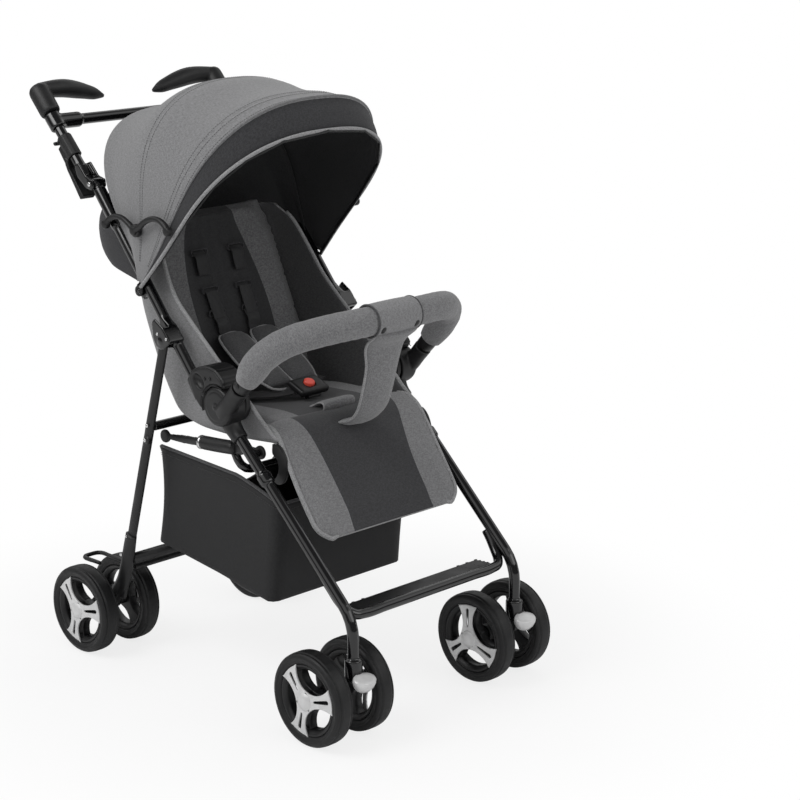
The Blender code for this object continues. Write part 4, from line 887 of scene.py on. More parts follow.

# %% [markdown]
# The canopy's lower back is a darker pouch inside the push tubes. It is a second sheet of the same
# arches. It stays with the push frame.

# %% The fixed rear part of the canopy, inside the push tubes
REAR_ANGLES = [13.0, 17.0, 22.0, 31.0, 41.0, 50.0, 60.0, 73.0]
REAR_REACH = [0.166, 0.190, 0.208, 0.226, 0.226, 0.240, 0.268, 0.2740]
rear_list = list(np.linspace(13.0, 73.0, 36))
rear_rows = [arch(a, 0.1715 + 0.0125 * min(1.0, max(0.0, (a - 60.0) / 7.0)),
                  float(through(REAR_ANGLES, REAR_REACH, [a])[0]), 0.030, 61, power=2.9, flare=0.0)
             for a in rear_list]
rear_sheet = net("canopy_rear_cloth", rear_rows, CHARCOAL_SHEET, LINING)
faces_out(rear_sheet, place(0.0, 0.42, 0.70))
thicken(rear_sheet, 0.0016, lining=1)
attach(rear_sheet, "push_frame")


# %% [markdown]
# ## Padding
# A padded piece starts as a simple closed form a little smaller than the real one. It is meshed
# anew at a few millimetres, and Blender's Cloth blows it up with a little pressure, so that it
# crowns in the middle and pulls in at the seams. No point may travel further than a cap, and near
# a seam it travels less, because the stitching holds it down.

# %% The cloth step
def puff(obj, cap, voxel=0.005, pressure=4.0, frames_run=20, ease=2, seams=(), near=0.026):
    outward(obj)
    remesh = obj.modifiers.new("remesh", "REMESH")
    remesh.mode = "VOXEL"
    remesh.voxel_size = voxel
    keep(obj)
    rest = np.array([v.co for v in obj.data.vertices])
    blow = obj.modifiers.new("blow", "CLOTH")
    settings = blow.settings
    settings.use_pressure = True
    settings.uniform_pressure_force = pressure
    settings.quality = 5
    settings.mass = 0.25
    settings.tension_stiffness = 18.0
    settings.compression_stiffness = 18.0
    settings.bending_stiffness = 0.6
    settings.effector_weights.gravity = 0.0
    scene = bpy.context.scene
    scene.frame_start = 1
    scene.frame_end = frames_run
    blow.point_cache.frame_start = 1
    blow.point_cache.frame_end = frames_run
    for number in range(1, frames_run + 1):
        scene.frame_set(number)
    evaluated = obj.evaluated_get(bpy.context.evaluated_depsgraph_get())
    blown = np.array([v.co for v in evaluated.data.vertices])
    obj.modifiers.clear()
    scene.frame_set(1)
    move = blown - rest
    far = np.linalg.norm(move, axis=1, keepdims=True)
    move *= np.minimum(1.0, cap / np.maximum(far, 1e-9))
    if len(seams):
        stitched = np.array([tuple(spot) for spot in seams])
        gap = np.linalg.norm(rest[:, None] - stitched[None], axis=2).min(axis=1)
        move *= np.minimum(1.0, gap / near)[:, None] ** 1.5
    obj.data.vertices.foreach_set("co", (rest + move).ravel().tolist())
    relax = obj.modifiers.new("relax", "SMOOTH")
    relax.iterations = ease
    relax.factor = 0.5
    finer = obj.modifiers.new("finer", "SUBSURF")
    finer.levels = 1
    finer.render_levels = 1
    keep(obj)
    obj.data.shade_smooth()
    return obj


def repaint(obj, *materials):
    obj.data.materials.clear()
    for material in materials:
        obj.data.materials.append(material)
    obj.data.polygons.foreach_set("material_index", [0] * len(obj.data.polygons))
    return obj


def two_tone(name, side_dark, side_light, middle_dark, middle_light, edge, slope, bend, centre_z,
             sheen=0.2):
    # A dark middle band between two light sides: the border is a curve in the pad's own place
    r = Recipe(name)
    where = r.spots()
    part = r.put("SeparateXYZ", Vector=where)
    across = r.put("Math", {"operation": "ABSOLUTE"}, _0=part.outputs["X"]).outputs[0]
    height = r.put("Math", {"operation": "SUBTRACT"}, _0=part.outputs["Z"], _1=centre_z).outputs[0]
    curve = r.put("Math", {"operation": "MULTIPLY_ADD"}, _0=height, _1=bend, _2=slope).outputs[0]
    border = r.put("Math", {"operation": "MULTIPLY_ADD"}, _0=height, _1=curve, _2=edge).outputs[0]
    beyond = r.put("Math", {"operation": "GREATER_THAN"}, _0=across, _1=border).outputs[0]
    warp = r.noise(r.spots(False, (1.0, 0.3, 0.25)), 900.0, 2.0)
    weft = r.noise(r.spots(False, (0.22, 1.0, 0.8)), 900.0, 2.0)
    dashes = r.put("Math", {"operation": "ADD"}, _0=warp, _1=weft).outputs[0]
    tint = r.span(dashes, 0.0, 1.0, (0.82, 1.18))
    sides = r.blend(tint, side_dark, side_light)
    middle = r.blend(tint, middle_dark, middle_light)
    return r.finish(r.blend(beyond, middle, sides), r.span(dashes, 0.82, 0.95, (0.7, 1.3)), dashes, 0.00025,
                    0.5,
                    Sheen_Weight=sheen, Sheen_Roughness=0.55, Specular_IOR_Level=0.2)


# %% [markdown]
# ## Seat shell
# The seat hangs in the frame like a hammock: one sheet runs down behind the backrest, turns under
# the seat and ends at its front edge, with both sides drawn up to a piped edge.

# %% The hammock sheet
SHELL_FLOOR = [(0.513, 0.742), (0.512, 0.720), (0.504, 0.664), (0.490, 0.608), (0.470, 0.556),
               (0.447, 0.508), (0.424, 0.466), (0.400, 0.438), (0.356, 0.4250), (0.300, 0.4225),
               (0.250, 0.4235), (0.200, 0.4270), (0.160, 0.4290)]
SHELL_EDGE = [(0.468, 0.746), (0.443, 0.718), (0.412, 0.668), (0.386, 0.632), (0.352, 0.601),
              (0.314, 0.570), (0.276, 0.537), (0.240, 0.509), (0.210, 0.486), (0.190, 0.4680),
              (0.174, 0.4560), (0.162, 0.4480), (0.152, 0.4410)]
SHELL_HALF = [0.128, 0.146, 0.157, 0.160, 0.160, 0.160, 0.1585, 0.1575, 0.1570, 0.1565, 0.1560, 0.1560,
              0.1540]


def shell_section(floor, edge, half, across=19, up=12):
    # Right edge, down the right side, across the floor, up the left side
    floor = Vector(floor)
    edge = Vector(edge)
    rise = edge - floor
    corner = 0.024
    wall = []
    for t in np.linspace(1.0, 0.0, up):
        wall.append((half + 0.0025 * math.sin(math.pi * t),
                     t * (1.0 - corner / max(rise.length, 0.03)) + corner / max(rise.length, 0.03)))
    turn = [(half - corner * (1.0 - math.cos(a)), (corner / max(rise.length, 0.03)) * (1.0 - math.sin(a)))
            for a in np.linspace(0.25, math.pi / 2, 5)]
    side = [(x, min(t, 1.0)) for x, t in wall[:-1]] + turn
    flat = [(x, 0.0) for x in np.linspace(half - corner, -(half - corner), across)[1:-1]]
    whole = [(-x, t) for x, t in side] + [(-x, t) for x, t in flat] + [(x, t) for x, t in reversed(side)]
    return [place(x, floor.x + rise.x * t, floor.y + rise.y * t) for x, t in whole]


def along_list(values, count):
    keys = np.linspace(0.0, 1.0, len(values))
    at = np.linspace(0.0, 1.0, count)
    values = np.array(values, float)
    if values.ndim == 1:
        return through(keys, values, at)
    return np.stack([through(keys, values[:, k], at) for k in range(values.shape[1])], axis=1)


SHELL_ROWS = 60
floor_line = along_list(SHELL_FLOOR, SHELL_ROWS)
edge_line = along_list(SHELL_EDGE, SHELL_ROWS)
half_line = along_list(SHELL_HALF, SHELL_ROWS)
shell_rows = [shell_section(f, e, h) for f, e, h in zip(floor_line, edge_line, half_line)]
# Its inner face is the darker heather copy, painted shade for the shadow inside the seat.
shell = net("seat_shell_cloth", shell_rows, HEATHER_SHEET, SHADED_INNER_SHEET)
faces_out(shell, place(0.0, 0.33, 0.53))
thicken(shell, 0.0030, lining=1)


def with_recline(piece):
    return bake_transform(piece)


with_recline(shell)

# %% Piped edges of the shell
for side_name, sign in (("right", -1.0), ("left", 1.0)):
    edge_path = [place(sign * (h + 0.0005), e[0], e[1]) for h, e in zip(half_line, edge_line)][3:]
    piping = tube("seat_side_piping_" + side_name, edge_path, 0.0032, PIPING, sides=10)
    with_recline(piping)

# %% [markdown]
# ## Seat and backrest pads
# Inside the shell lie two foam pads. The backrest pad has a dark middle with two curved grey
# bands; the seat pad is dark in the middle and grey at its sides.

# %% Pads inside the shell
BACK_LINE = [(0.390, 0.462), (0.406, 0.490), (0.421, 0.520), (0.443, 0.566), (0.465, 0.614), (0.483, 0.660),
             (0.496, 0.705), (0.503, 0.752)]
BACK_HALF = [0.135, 0.146, 0.150, 0.151, 0.151, 0.149, 0.142, 0.120]


def slab(name, line, halves, thick, material, crown=0.0, columns=14):
    # A closed pad that follows a line in the side view: square-edged, ready to be puffed
    rows = []
    for i, ((y, z), half) in enumerate(zip(line, halves)):
        a = Vector(line[max(i - 1, 0)])
        b = Vector(line[min(i + 1, len(line) - 1)])
        ahead = (b - a).normalized()
        out = Vector((-ahead.y, ahead.x))
        t = thick[i] if hasattr(thick, "__len__") else thick
        front = []
        rear = []
        for x in np.linspace(-half, half, columns):
            bulge = crown * (1.0 - (x / half) ** 2)
            edge = max(0.0, abs(x) / half - 0.86) / 0.14
            lift = t / 2 * math.sqrt(max(0.0, 1.0 - edge ** 2.2)) if edge < 1.0 else 0.0
            front.append(place(x, y + out.x * (lift + bulge), z + out.y * (lift + bulge)))
            rear.append(place(x, y - out.x * lift * 0.8, z - out.y * lift * 0.8))
        rows.append(front + list(reversed(rear))[1:-1])
    return outward(net(name, rows, material, closed=True, caps=True))


back_line = along_list(BACK_LINE, 26)
back_half = along_list(BACK_HALF, 26)
back_thick = 0.010 + 0.012 * np.sin(np.linspace(0.12, math.pi - 0.12, 26)) ** 0.5
back_pad = slab("backrest_pad", back_line, back_half, back_thick, CHARCOAL_PAD)
back_seams = [place(s * h, y, z) for (y, z), h in zip(back_line, back_half) for s in (-1.0, 1.0)]
back_seams += [place(x, y - 0.011, z) for y, z in back_line[9:23] for x in np.linspace(-0.055, 0.055, 6)]
puff(back_pad, 0.005, voxel=0.0042, seams=back_seams)
BACK_TONES = two_tone("backrest_two_tone", (0.085, 0.085, 0.087), (0.165, 0.165, 0.169),
                      (0.022, 0.022, 0.023), (0.036, 0.036, 0.038), 0.0800, -0.05, -1.35, 0.60)
repaint(back_pad, BACK_TONES)
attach(back_pad, "backrest")
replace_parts(back_pad, "backrest")

SEAT_LINE = [(0.152, 0.4385), (0.172, 0.4450), (0.215, 0.4475), (0.262, 0.4450), (0.305, 0.4430),
             (0.340, 0.4420), (0.360, 0.4440)]
seat_line = along_list(SEAT_LINE, 22)
seat_pad = slab("seat_pad", seat_line, along_list([0.150, 0.152, 0.153, 0.153, 0.152, 0.150, 0.140], 22),
                0.010 + 0.012 * np.sin(np.linspace(0.15, math.pi - 0.15, 22)) ** 0.5, CHARCOAL_PAD)
puff(seat_pad, 0.005, seams=[place(s * 0.152, y, z) for y, z in seat_line for s in (-1.0, 1.0)])
SEAT_TONES = two_tone("seat_two_tone", (0.125, 0.125, 0.128), (0.205, 0.205, 0.210), (0.024, 0.024, 0.026),
                      (0.040, 0.040, 0.043), 0.082, 0.0, 0.0, 0.44)
repaint(seat_pad, SEAT_TONES)
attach(seat_pad, "side_rails")
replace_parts(seat_pad, "seat_base")
print("pads", len(back_pad.data.polygons), len(seat_pad.data.polygons))

# %% [markdown]
# ## Calf rest
# The calf rest is a flat padded flap with a dark centre, grey sides and rounded lower corners,
# and a piped border. It rolls over the front edge of the seat as one piece of cloth.

# %% Calf rest pad
CALF_LINE = [(0.1900, 0.4560), (0.1770, 0.4565), (0.1630, 0.4525), (0.1500, 0.4425), (0.1390, 0.4275),
             (0.1270, 0.4085), (0.1100, 0.3810), (0.0890, 0.3500), (0.0680, 0.3200), (0.0530, 0.2985)]
calf_line = along_list(CALF_LINE, 40)
calf_half = along_list([0.1500, 0.1530, 0.1560, 0.1585, 0.1605, 0.1615, 0.1615, 0.1615], 40)
calf_half = np.array([h if k < 33 else 0.1612 - 0.0245 * ((k - 33) / 6.0) ** 2.6
                      for k, h in enumerate(calf_half)])
calf_pad = slab("calf_pad", calf_line, calf_half, 0.0115, CHARCOAL_PAD, columns=20)
calf_edge = [place(-h + 0.0032, y, z) for (y, z), h in zip(calf_line, calf_half)]
calf_bottom = [place(x, calf_line[-1][0] + 0.0012, calf_line[-1][1] + 0.0022) for x in
               np.linspace(-calf_half[-1] + 0.004, calf_half[-1] - 0.004, 30)[1:-1]]
calf_border = calf_edge + calf_bottom + [Vector((-p.x, p.y, p.z)) for p in reversed(calf_edge)]
puff(calf_pad, 0.0035, voxel=0.0040, seams=calf_border, near=0.03)
CALF_TONES = two_tone("calf_two_tone", (0.135, 0.135, 0.138), (0.215, 0.215, 0.220), (0.026, 0.026, 0.028),
                      (0.044, 0.044, 0.047), 0.0880, 0.05, 1.1, 0.36)
repaint(calf_pad, CALF_TONES)


def with_calf(piece):
    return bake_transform(piece)


with_calf(calf_pad)
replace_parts(calf_pad, "calf_rest")
calf_piping = tube("calf_piping", smooth_path(calf_border, 150), 0.0036, PIPING, sides=10)
with_calf(calf_piping)


# %% [markdown]
# ## Bumper bar
# The bumper is a foam-padded tube in a grey sleeve, bent to a U, with hard ends on its sockets. A
# stitched wrap with two snaps covers its middle, and a curved tongue runs from it down to the seat.

# %% Sleeve of the bumper
ARM_X = 0.2035
ARM_WAY = Vector((0.0, 0.183 - 0.222, 0.528 - 0.486)).normalized()
half_bar = [(ARM_X, 0.1680, 0.5442), (0.2045, 0.1520, 0.5640), (0.2010, 0.1330, 0.5855),
            (0.1850, 0.1120, 0.6050), (0.1625, 0.0950, 0.6160), (0.1430, 0.0800, 0.6225),
            (0.1180, 0.0685, 0.6270), (0.0700, 0.0612, 0.6290), (0.0, 0.0598, 0.6290)]
bar_path = ([place(-x, y, z) for x, y, z in half_bar]
            + [place(x, y, z) for x, y, z in reversed(half_bar[:-1])])
bar_path = smooth_path(bar_path, 120)
bar_radius = [0.0232 * min(1.0, 0.80 + 0.20 * math.sin(min(1.0, min(k, 119 - k) / 7.0) * math.pi / 2))
              for k in range(120)]
sleeve = tube("bumper_sleeve", bar_path, bar_radius, HEATHER_PAD, sides=28, first=Vector((0.0, 0.7, 0.7)))
ripple = np.array([v.co for v in sleeve.data.vertices])
wrinkle = 0.00045 * np.sin(ripple[:, 0] * 330.0 + ripple[:, 1] * 150.0) * np.sin(ripple[:, 2] * 120.0 + 1.0)
normals = np.array([v.normal for v in sleeve.data.vertices])
sleeve.data.vertices.foreach_set("co", (ripple + normals * wrinkle[:, None]).ravel().tolist())
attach(sleeve, "bumper_bar")
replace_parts(sleeve, "bumper_bar")

# %% Hard ends, wrap, snaps and tongue
ends = []
for sign in (-1.0, 1.0):
    start = place(sign * ARM_X, 0.183, 0.528) + ARM_WAY * 0.0003
    end_path = [start, start + ARM_WAY * 0.002, start + ARM_WAY * 0.020, start + ARM_WAY * 0.026]
    ends.append(tube("end", end_path, [0.0130, 0.0145, 0.0150, 0.0142], BLACK_PLASTIC, sides=28))
hard_ends = join("bumper_hard_ends", *ends)
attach(hard_ends, "bumper_bar")


def wrap_rows(x0, x1, radius, turns, count=25, columns=40):
    # A band round the bar's middle: a ring at each step across, open where its edges meet behind
    rows = []
    for x in np.linspace(x0, x1, count):
        y = float(np.interp(abs(x), [0.0, 0.07, 0.12], [0.0598, 0.0610, 0.0655]))
        z = 0.6290
        edge = 0.0010 * math.sin(math.pi * (x - x0) / (x1 - x0))
        rows.append([place(x, y + (radius + edge) * math.cos(a), z + (radius + edge) * math.sin(a))
                     for a in np.linspace(turns[0], turns[1], columns)])
    return rows


wrap = net("bumper_wrap", wrap_rows(-0.047, 0.047, 0.0250, (0.0, math.tau)), HEATHER_SHEET, HEATHER_SHEET)
faces_out(wrap, place(0.0, 0.0598, 0.6290))
thicken(wrap, 0.0014, offset=1.0)
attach(wrap, "bumper_bar")
rims = []
for x in (-0.047, 0.047):
    ring = [p for p in wrap_rows(x - 0.0001, x + 0.0001, 0.0258, (0.0, math.tau), 2, 48)[0]]
    rims.append(tube("wrap_rim", ring, 0.0017, DARK_GREY_PAD, sides=8, caps=False))
wrap_rims = join("bumper_wrap_binding", *rims)
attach(wrap_rims, "bumper_bar")

TONGUE = [(0.0440, 0.6110), (0.0520, 0.6020), (0.0640, 0.5930), (0.0740, 0.5780), (0.0790, 0.5480),
          (0.0900, 0.5050), (0.1010, 0.4760), (0.1190, 0.4570), (0.1480, 0.4470)]
TONGUE_HALF = [0.0455, 0.0455, 0.0440, 0.0400, 0.0335, 0.0325, 0.0320, 0.0310, 0.0300]
tongue_line = along_list(TONGUE, 40)
tongue_half = along_list(TONGUE_HALF, 40)
tongue_rows = []
for i, ((y, z), half) in enumerate(zip(tongue_line, tongue_half)):
    a = tongue_line[max(i - 1, 0)]
    b = tongue_line[min(i + 1, 39)]
    ahead = Vector((b[0] - a[0], b[1] - a[1])).normalized()
    out = Vector((ahead.y, -ahead.x))
    row = []
    for k in range(28):
        turn = math.tau * k / 28
        c = math.cos(turn)
        s = math.sin(turn)
        x = math.copysign(abs(c) ** 0.6, c) * half
        n = (math.copysign(abs(s) ** 0.8, s) * 0.0062 * (1.0 - 0.25 * abs(c))
             + 0.0030 * (1.0 - (x / half) ** 2))
        row.append(place(x, y + out.x * n, z + out.y * n))
    tongue_rows.append(row)
tongue = outward(net("bumper_tongue", tongue_rows, HEATHER_PAD, closed=True, caps=True))
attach(tongue, "bumper_bar")
tongue_edges = []
for sign in (-1.0, 1.0):
    edge = [place(sign * (h + 0.0006), y, z) for (y, z), h in zip(tongue_line, tongue_half)]
    tongue_edges.append(tube("edge", edge, 0.0021, PIPING, sides=8))
tongue_piping = join("bumper_tongue_piping", *tongue_edges)
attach(tongue_piping, "bumper_bar")
snap_spots = [place(x, 0.0606 - 0.0262 * math.cos(math.radians(28.0)),
                    0.6290 - 0.0262 * math.sin(math.radians(28.0)))
              for x in (-0.036, 0.036)]
snap_ways = [(0.0, -math.cos(math.radians(28.0)), -math.sin(math.radians(28.0)))] * 2
domes("bumper_snaps", snap_spots, snap_ways, (0.0050, 0.0050, 0.0022), BLACK_PLASTIC, "bumper_bar")
domes("bumper_snap_rings", snap_spots, snap_ways, (0.0064, 0.0064, 0.0010), GRIP_PLASTIC, "bumper_bar")
print("bumper bar dressed")


# %% [markdown]
# ## Basket
# The basket is one soft shell slung under the seat. Its rim hangs from the slung cross tube and
# from the rear legs, so it rises to the back. The floor sags between the front and rear edges.

# %% Basket shell
def rounded_corner(turn, corner):
    # A point on a unit square with softly rounded corners, in the direction of turn
    c = math.cos(turn)
    s = math.sin(turn)
    reach = 1.0 / max(abs(c), abs(s))
    u = c * reach
    v = s * reach
    near = max(0.0, min(abs(u), abs(v)) - (1.0 - corner)) / corner
    pull = 1.0 - corner * 0.30 * near ** 2
    return u * pull, v * pull


LOOP = 96
TURNS = [math.atan2(v, u) for u, v in
         [(1.0, t) for t in np.linspace(-1.0, 1.0, 25)[:-1]]
         + [(-t, 1.0) for t in np.linspace(-1.0, 1.0, 25)[:-1]]
         + [(-1.0, -t) for t in np.linspace(-1.0, 1.0, 25)[:-1]]
         + [(t, -1.0) for t in np.linspace(-1.0, 1.0, 25)[:-1]]]


def basket_loop(level):
    # level runs from 0 at the rim to 1 at the middle of the floor
    down = min(1.0, level / 0.62)
    inward = max(0.0, (level - 0.62) / 0.38)
    points = []
    for turn in TURNS:
        u, v = rounded_corner(turn, 0.10)
        t = (v + 1.0) / 2.0
        top = 0.3330 + 0.0310 * min(1.0, t / 0.32) ** 0.8 + 0.0150 * max(0.0, (t - 0.32) / 0.68)
        top -= 0.1080 * max(0.0, v) ** 24 * (1.0 - abs(u) ** 2.4)
        bottom = (0.1625 + 0.0217 * min(1.0, max(0.0, (t - 0.04) / 0.41))
                  + 0.0236 * max(0.0, (t - 0.45) / 0.55))
        y = 0.1600 + (0.4440 - 0.1600) * t
        y_low = 0.1800 + (0.4575 - 0.1800) * t
        waist = math.sin(math.pi * down)
        half = (0.1500 + 0.0140 * t) * (1.0 - 0.02 * down)
        x = u * half - math.copysign(0.0030 * waist * abs(u), u)
        yy = y + (y_low - y) * down - 0.0075 * waist * max(0.0, v) ** 2 * (1.0 - abs(u) * 0.3)
        z = top + (bottom - top) * down
        if inward > 0.0:
            shrink = 1.0 - inward
            x = x * shrink
            yy = 0.315 + (yy - 0.315) * shrink
            low = 0.020 * math.sin(inward * math.pi / 2) ** 0.7
            bulge = (0.016 * math.exp(-((yy - 0.262) / 0.030) ** 2)
                     * math.sin(min(1.0, inward * 3.0) * math.pi / 2))
            z = bottom - low - bulge
        points.append(place(x, yy, z))
    return points


levels = list(np.linspace(0.0, 0.60, 22)) + list(np.linspace(0.62, 0.99, 14))
basket_rows = [basket_loop(level) for level in levels]
basket = net("basket_shell", basket_rows, BASKET_CLOTH, BASKET_CLOTH, closed=True)
cover = bmesh.new()
cover.from_mesh(basket.data)
cover.verts.ensure_lookup_table()
last_ring = [cover.verts[(len(levels) - 1) * LOOP + k] for k in range(LOOP)]
cover.faces.new(last_ring)
cover.to_mesh(basket.data)
cover.free()
faces_out(basket, place(0.0, 0.30, 0.27))
thicken(basket, 0.0018)
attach(basket, "side_rails")
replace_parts(basket, "basket")
binding = tube("basket_binding", basket_rows[0] + [basket_rows[0][0]], 0.0026, DARK_GREY_PAD, sides=8,
               caps=False)
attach(binding, "side_rails")
basket_lines = [[p + (p - place(0.0, 0.30, p.z + DROP)).normalized() * 0.0014 for p in basket_loop(0.045)]]
basket_stitching = stitches("basket_stitching", basket_lines, THREAD, "side_rails", pitch=0.0045)
for soft_part in (basket, binding, basket_stitching):
    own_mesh(soft_part)


# %% [markdown]
# ## Harness
# The five-point harness comes out of four slots in the backrest. Its two shoulder pads are thick,
# rounded at the top and piped, and run forward over the seat to the buckle. The lap straps come
# from the corners of the seat. The crotch strap lies under a curled grey pad.

# %% Straps
def strap(name, points, half, body, thickness=0.0011, lift=(0.0, -0.6, 0.8), steps=40, material=None):
    # Flat webbing along a path: its broad side looks along lift
    path = smooth_path(points, steps)
    rows = []
    for i, point in enumerate(path):
        ahead = (path[min(i + 1, steps - 1)] - path[max(i - 1, 0)]).normalized()
        across = ahead.cross(Vector(lift)).normalized()
        out = across.cross(ahead).normalized()
        ring = [(-1.0, -1.0), (-0.96, -1.3), (0.0, -1.3), (0.96, -1.3), (1.0, -1.0), (1.0, 1.0),
                (0.96, 1.3), (0.0, 1.3), (-0.96, 1.3), (-1.0, 1.0)]
        rows.append([point + across * half * u + out * thickness * v for u, v in ring])
    piece = outward(net(name, rows, material or WEBBING, closed=True, caps=True))
    piece.data.set_sharp_from_angle(angle=math.radians(50.0))
    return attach(piece, body) if body else with_recline(piece)


def back_face(z, off=0.0):
    # The front of the backrest pad in the side view, at a height
    return float(np.interp(z, [q[1] for q in BACK_LINE], [q[0] for q in BACK_LINE])) - 0.0165 - off


for side_name, sign in (("right", -1.0), ("left", 1.0)):
    x = sign * 0.040
    strap("strap_upper_" + side_name, [place(x, back_face(0.681, -0.006), 0.682),
                                       place(x, back_face(0.676, 0.002), 0.676),
                                       place(x, back_face(0.660, 0.003), 0.660),
                                       place(x, back_face(0.645, 0.003), 0.645)],
          0.0125, "backrest", lift=(0.0, -1.0, 0.2))
    strap("strap_middle_" + side_name, [place(x * 0.92, back_face(0.618, 0.003), 0.618),
                                        place(x * 0.90, back_face(0.596, 0.003), 0.596),
                                        place(x * 0.88, back_face(0.575, 0.004), 0.575)],
          0.0125, "backrest", lift=(0.0, -1.0, 0.2))
    strap("strap_shoulder_" + side_name, [place(x * 0.84, back_face(0.580, 0.001), 0.580),
                                          place(x * 0.84, back_face(0.566, 0.006), 0.566),
                                          place(x * 0.82, 0.418, 0.552), place(x * 0.82, 0.400, 0.543)],
          0.0130, "backrest", lift=(0.0, -1.0, 0.4))
    strap("strap_lap_" + side_name, [place(sign * 0.118, 0.352, 0.462), place(sign * 0.100, 0.338, 0.466),
                                     place(sign * 0.070, 0.308, 0.470),
                                     place(sign * 0.040, 0.276, 0.474), place(sign * 0.022, 0.262, 0.478)],
          0.0125, "side_rails", lift=(0.0, -0.3, 1.0))
slot_spots = []
for z in (0.6815, 0.6200, 0.5830):
    for sign in (-1.0, 1.0):
        slot_spots.append((sign * (0.040 if z > 0.65 else 0.0365), z))
frames_made = []
for x, z in slot_spots:
    loop = [place(x + 0.0170 * math.copysign(abs(math.cos(a)) ** 0.35, math.cos(a)), back_face(z, 0.0006),
                  z + 0.0048 * math.copysign(abs(math.sin(a)) ** 0.35, math.sin(a)))
                  for a in np.linspace(0.0, math.tau, 41)]
    frames_made.append(tube("slot_edge", loop, 0.0013, CHARCOAL_PAD, sides=8, caps=False))
slot_edges = join("strap_slot_edges", *frames_made)
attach(slot_edges, "backrest")

# %% Shoulder pads and the curled crotch pad
PAD_LINE = [(0.4060, 0.5500), (0.3960, 0.5460), (0.3777, 0.5340), (0.3480, 0.5150), (0.3150, 0.4975),
            (0.2860, 0.4830)]
PAD_HALF = [0.0200, 0.0285, 0.0320, 0.0330, 0.0315, 0.0250]


def shaped_pad(name, line, halves, offset, thickness, material, steps=34, around=30, roundness=0.55):
    # A pillow along a side-view line: its section is a soft-cornered flat oval
    path = along_list(line, steps)
    widths = along_list(halves, steps)
    shift = along_list(offset, steps) if hasattr(offset, "__len__") else [offset] * steps
    rows = []
    for i in range(steps):
        a = path[max(i - 1, 0)]
        b = path[min(i + 1, steps - 1)]
        ahead = Vector((b[0] - a[0], b[1] - a[1])).normalized()
        out = Vector((ahead.y, -ahead.x))
        end = min(1.0, (min(i, steps - 1 - i) + 0.6) / 3.0) ** 0.5
        row = []
        for k in range(around):
            turn = math.tau * k / around
            c = math.cos(turn)
            s = math.sin(turn)
            x = math.copysign(abs(c) ** roundness, c) * widths[i]
            n = math.copysign(abs(s) ** 0.75, s) * thickness * end
            row.append(place(shift[i] + x, path[i][0] + out.x * n, path[i][1] + out.y * n))
        rows.append(row)
    return outward(net(name, rows, material, closed=True, caps=True))


for side_name, sign in (("right", -1.0), ("left", 1.0)):
    lean = [sign * v for v in (0.0345, 0.0345, 0.0340, 0.0335, 0.0315, 0.0265)]
    pad = shaped_pad("shoulder_pad_" + side_name, PAD_LINE, PAD_HALF, lean, 0.0078, DARK_GREY_PAD)
    puff(pad, 0.0018, 0.0030, 3.0, 12)
    with_recline(pad)
    pad_path = along_list(PAD_LINE, 30)
    pad_wide = along_list(PAD_HALF, 30)
    pad_lean = along_list(lean, 30)
    border = [place(l - w - 0.0004, p[0], p[1]) for l, w, p in zip(pad_lean, pad_wide, pad_path)]
    other = [place(l + w + 0.0004, p[0], p[1]) for l, w, p in zip(pad_lean, pad_wide, pad_path)]
    loop = border + list(reversed(other))
    loop = smooth_path(loop + [loop[0]], 120)
    binding = tube("shoulder_pad_piping_" + side_name, loop, 0.0021, PIPING, sides=8, caps=False)
    with_recline(binding)
    if side_name == "right":
        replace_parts(pad, "harness")

CURL = [(0.2450, 0.4560), (0.2250, 0.4575), (0.2050, 0.4640), (0.1900, 0.4720), (0.1795, 0.4725),
        (0.1770, 0.4650), (0.1830, 0.4570), (0.1930, 0.4545), (0.1800, 0.4530), (0.1650, 0.4525)]
curl = shaped_pad("crotch_pad", CURL, [0.033] * 10, 0.0, 0.0026, HEATHER_PAD, steps=60, roundness=0.35)
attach(curl, "side_rails")
curl_path = along_list(CURL, 60)
curl_edges = [tube("edge", [place(sign * 0.0335, y, z) for y, z in curl_path], 0.0014, PIPING, sides=8)
              for sign in (-1.0, 1.0)]
curl_piping = join("crotch_pad_piping", *curl_edges)
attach(curl_piping, "side_rails")
print("harness made")

# %% [markdown]
# ## Quarter-round plates
# Two curved plates carry the calf rest. Each one is a flat outline pushed out to its thickness. It
# hugs the edge of the seat and turns with the flap on the rail's front end.

# %% Plates
PLATE = [(0.1590, 0.4360), (0.1440, 0.4360), (0.1320, 0.4250), (0.1250, 0.4080), (0.1260, 0.3920),
         (0.1330, 0.3780), (0.1460, 0.3720), (0.1560, 0.3760), (0.1490, 0.3860), (0.1450, 0.3980),
         (0.1480, 0.4120), (0.1590, 0.4200)]


def plate(name, outline, x_in, x_out, material, body, bevel=0.0009):
    # A flat moulded plate in the side view, between two distances from the middle
    work = bmesh.new()
    low = [work.verts.new(place(x_in, y, z)) for y, z in outline]
    face = work.faces.new(low)
    pulled = bmesh.ops.extrude_face_region(work, geom=[face])
    moved = [v for v in pulled["geom"] if isinstance(v, bmesh.types.BMVert)]
    bmesh.ops.translate(work, verts=moved, vec=(x_out - x_in, 0.0, 0.0))
    bmesh.ops.recalc_face_normals(work, faces=work.faces)
    bmesh.ops.bevel(work, geom=list(work.edges), offset=bevel, segments=2, affect="EDGES")
    mesh = bpy.data.meshes.new(name)
    work.to_mesh(mesh)
    work.free()
    mesh.shade_smooth()
    mesh.set_sharp_from_angle(angle=math.radians(35.0))
    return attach(new_object(name, mesh, material), body)


plate_outline = [tuple(p) for p in along_list(PLATE + [PLATE[0]], 49)[:-1]]
for side_name, sign in (("right", -1.0), ("left", 1.0)):
    plate("calf_plate_" + side_name, plate_outline, sign * 0.1575, sign * 0.1625, BLACK_PLASTIC,
                  "calf_rest")


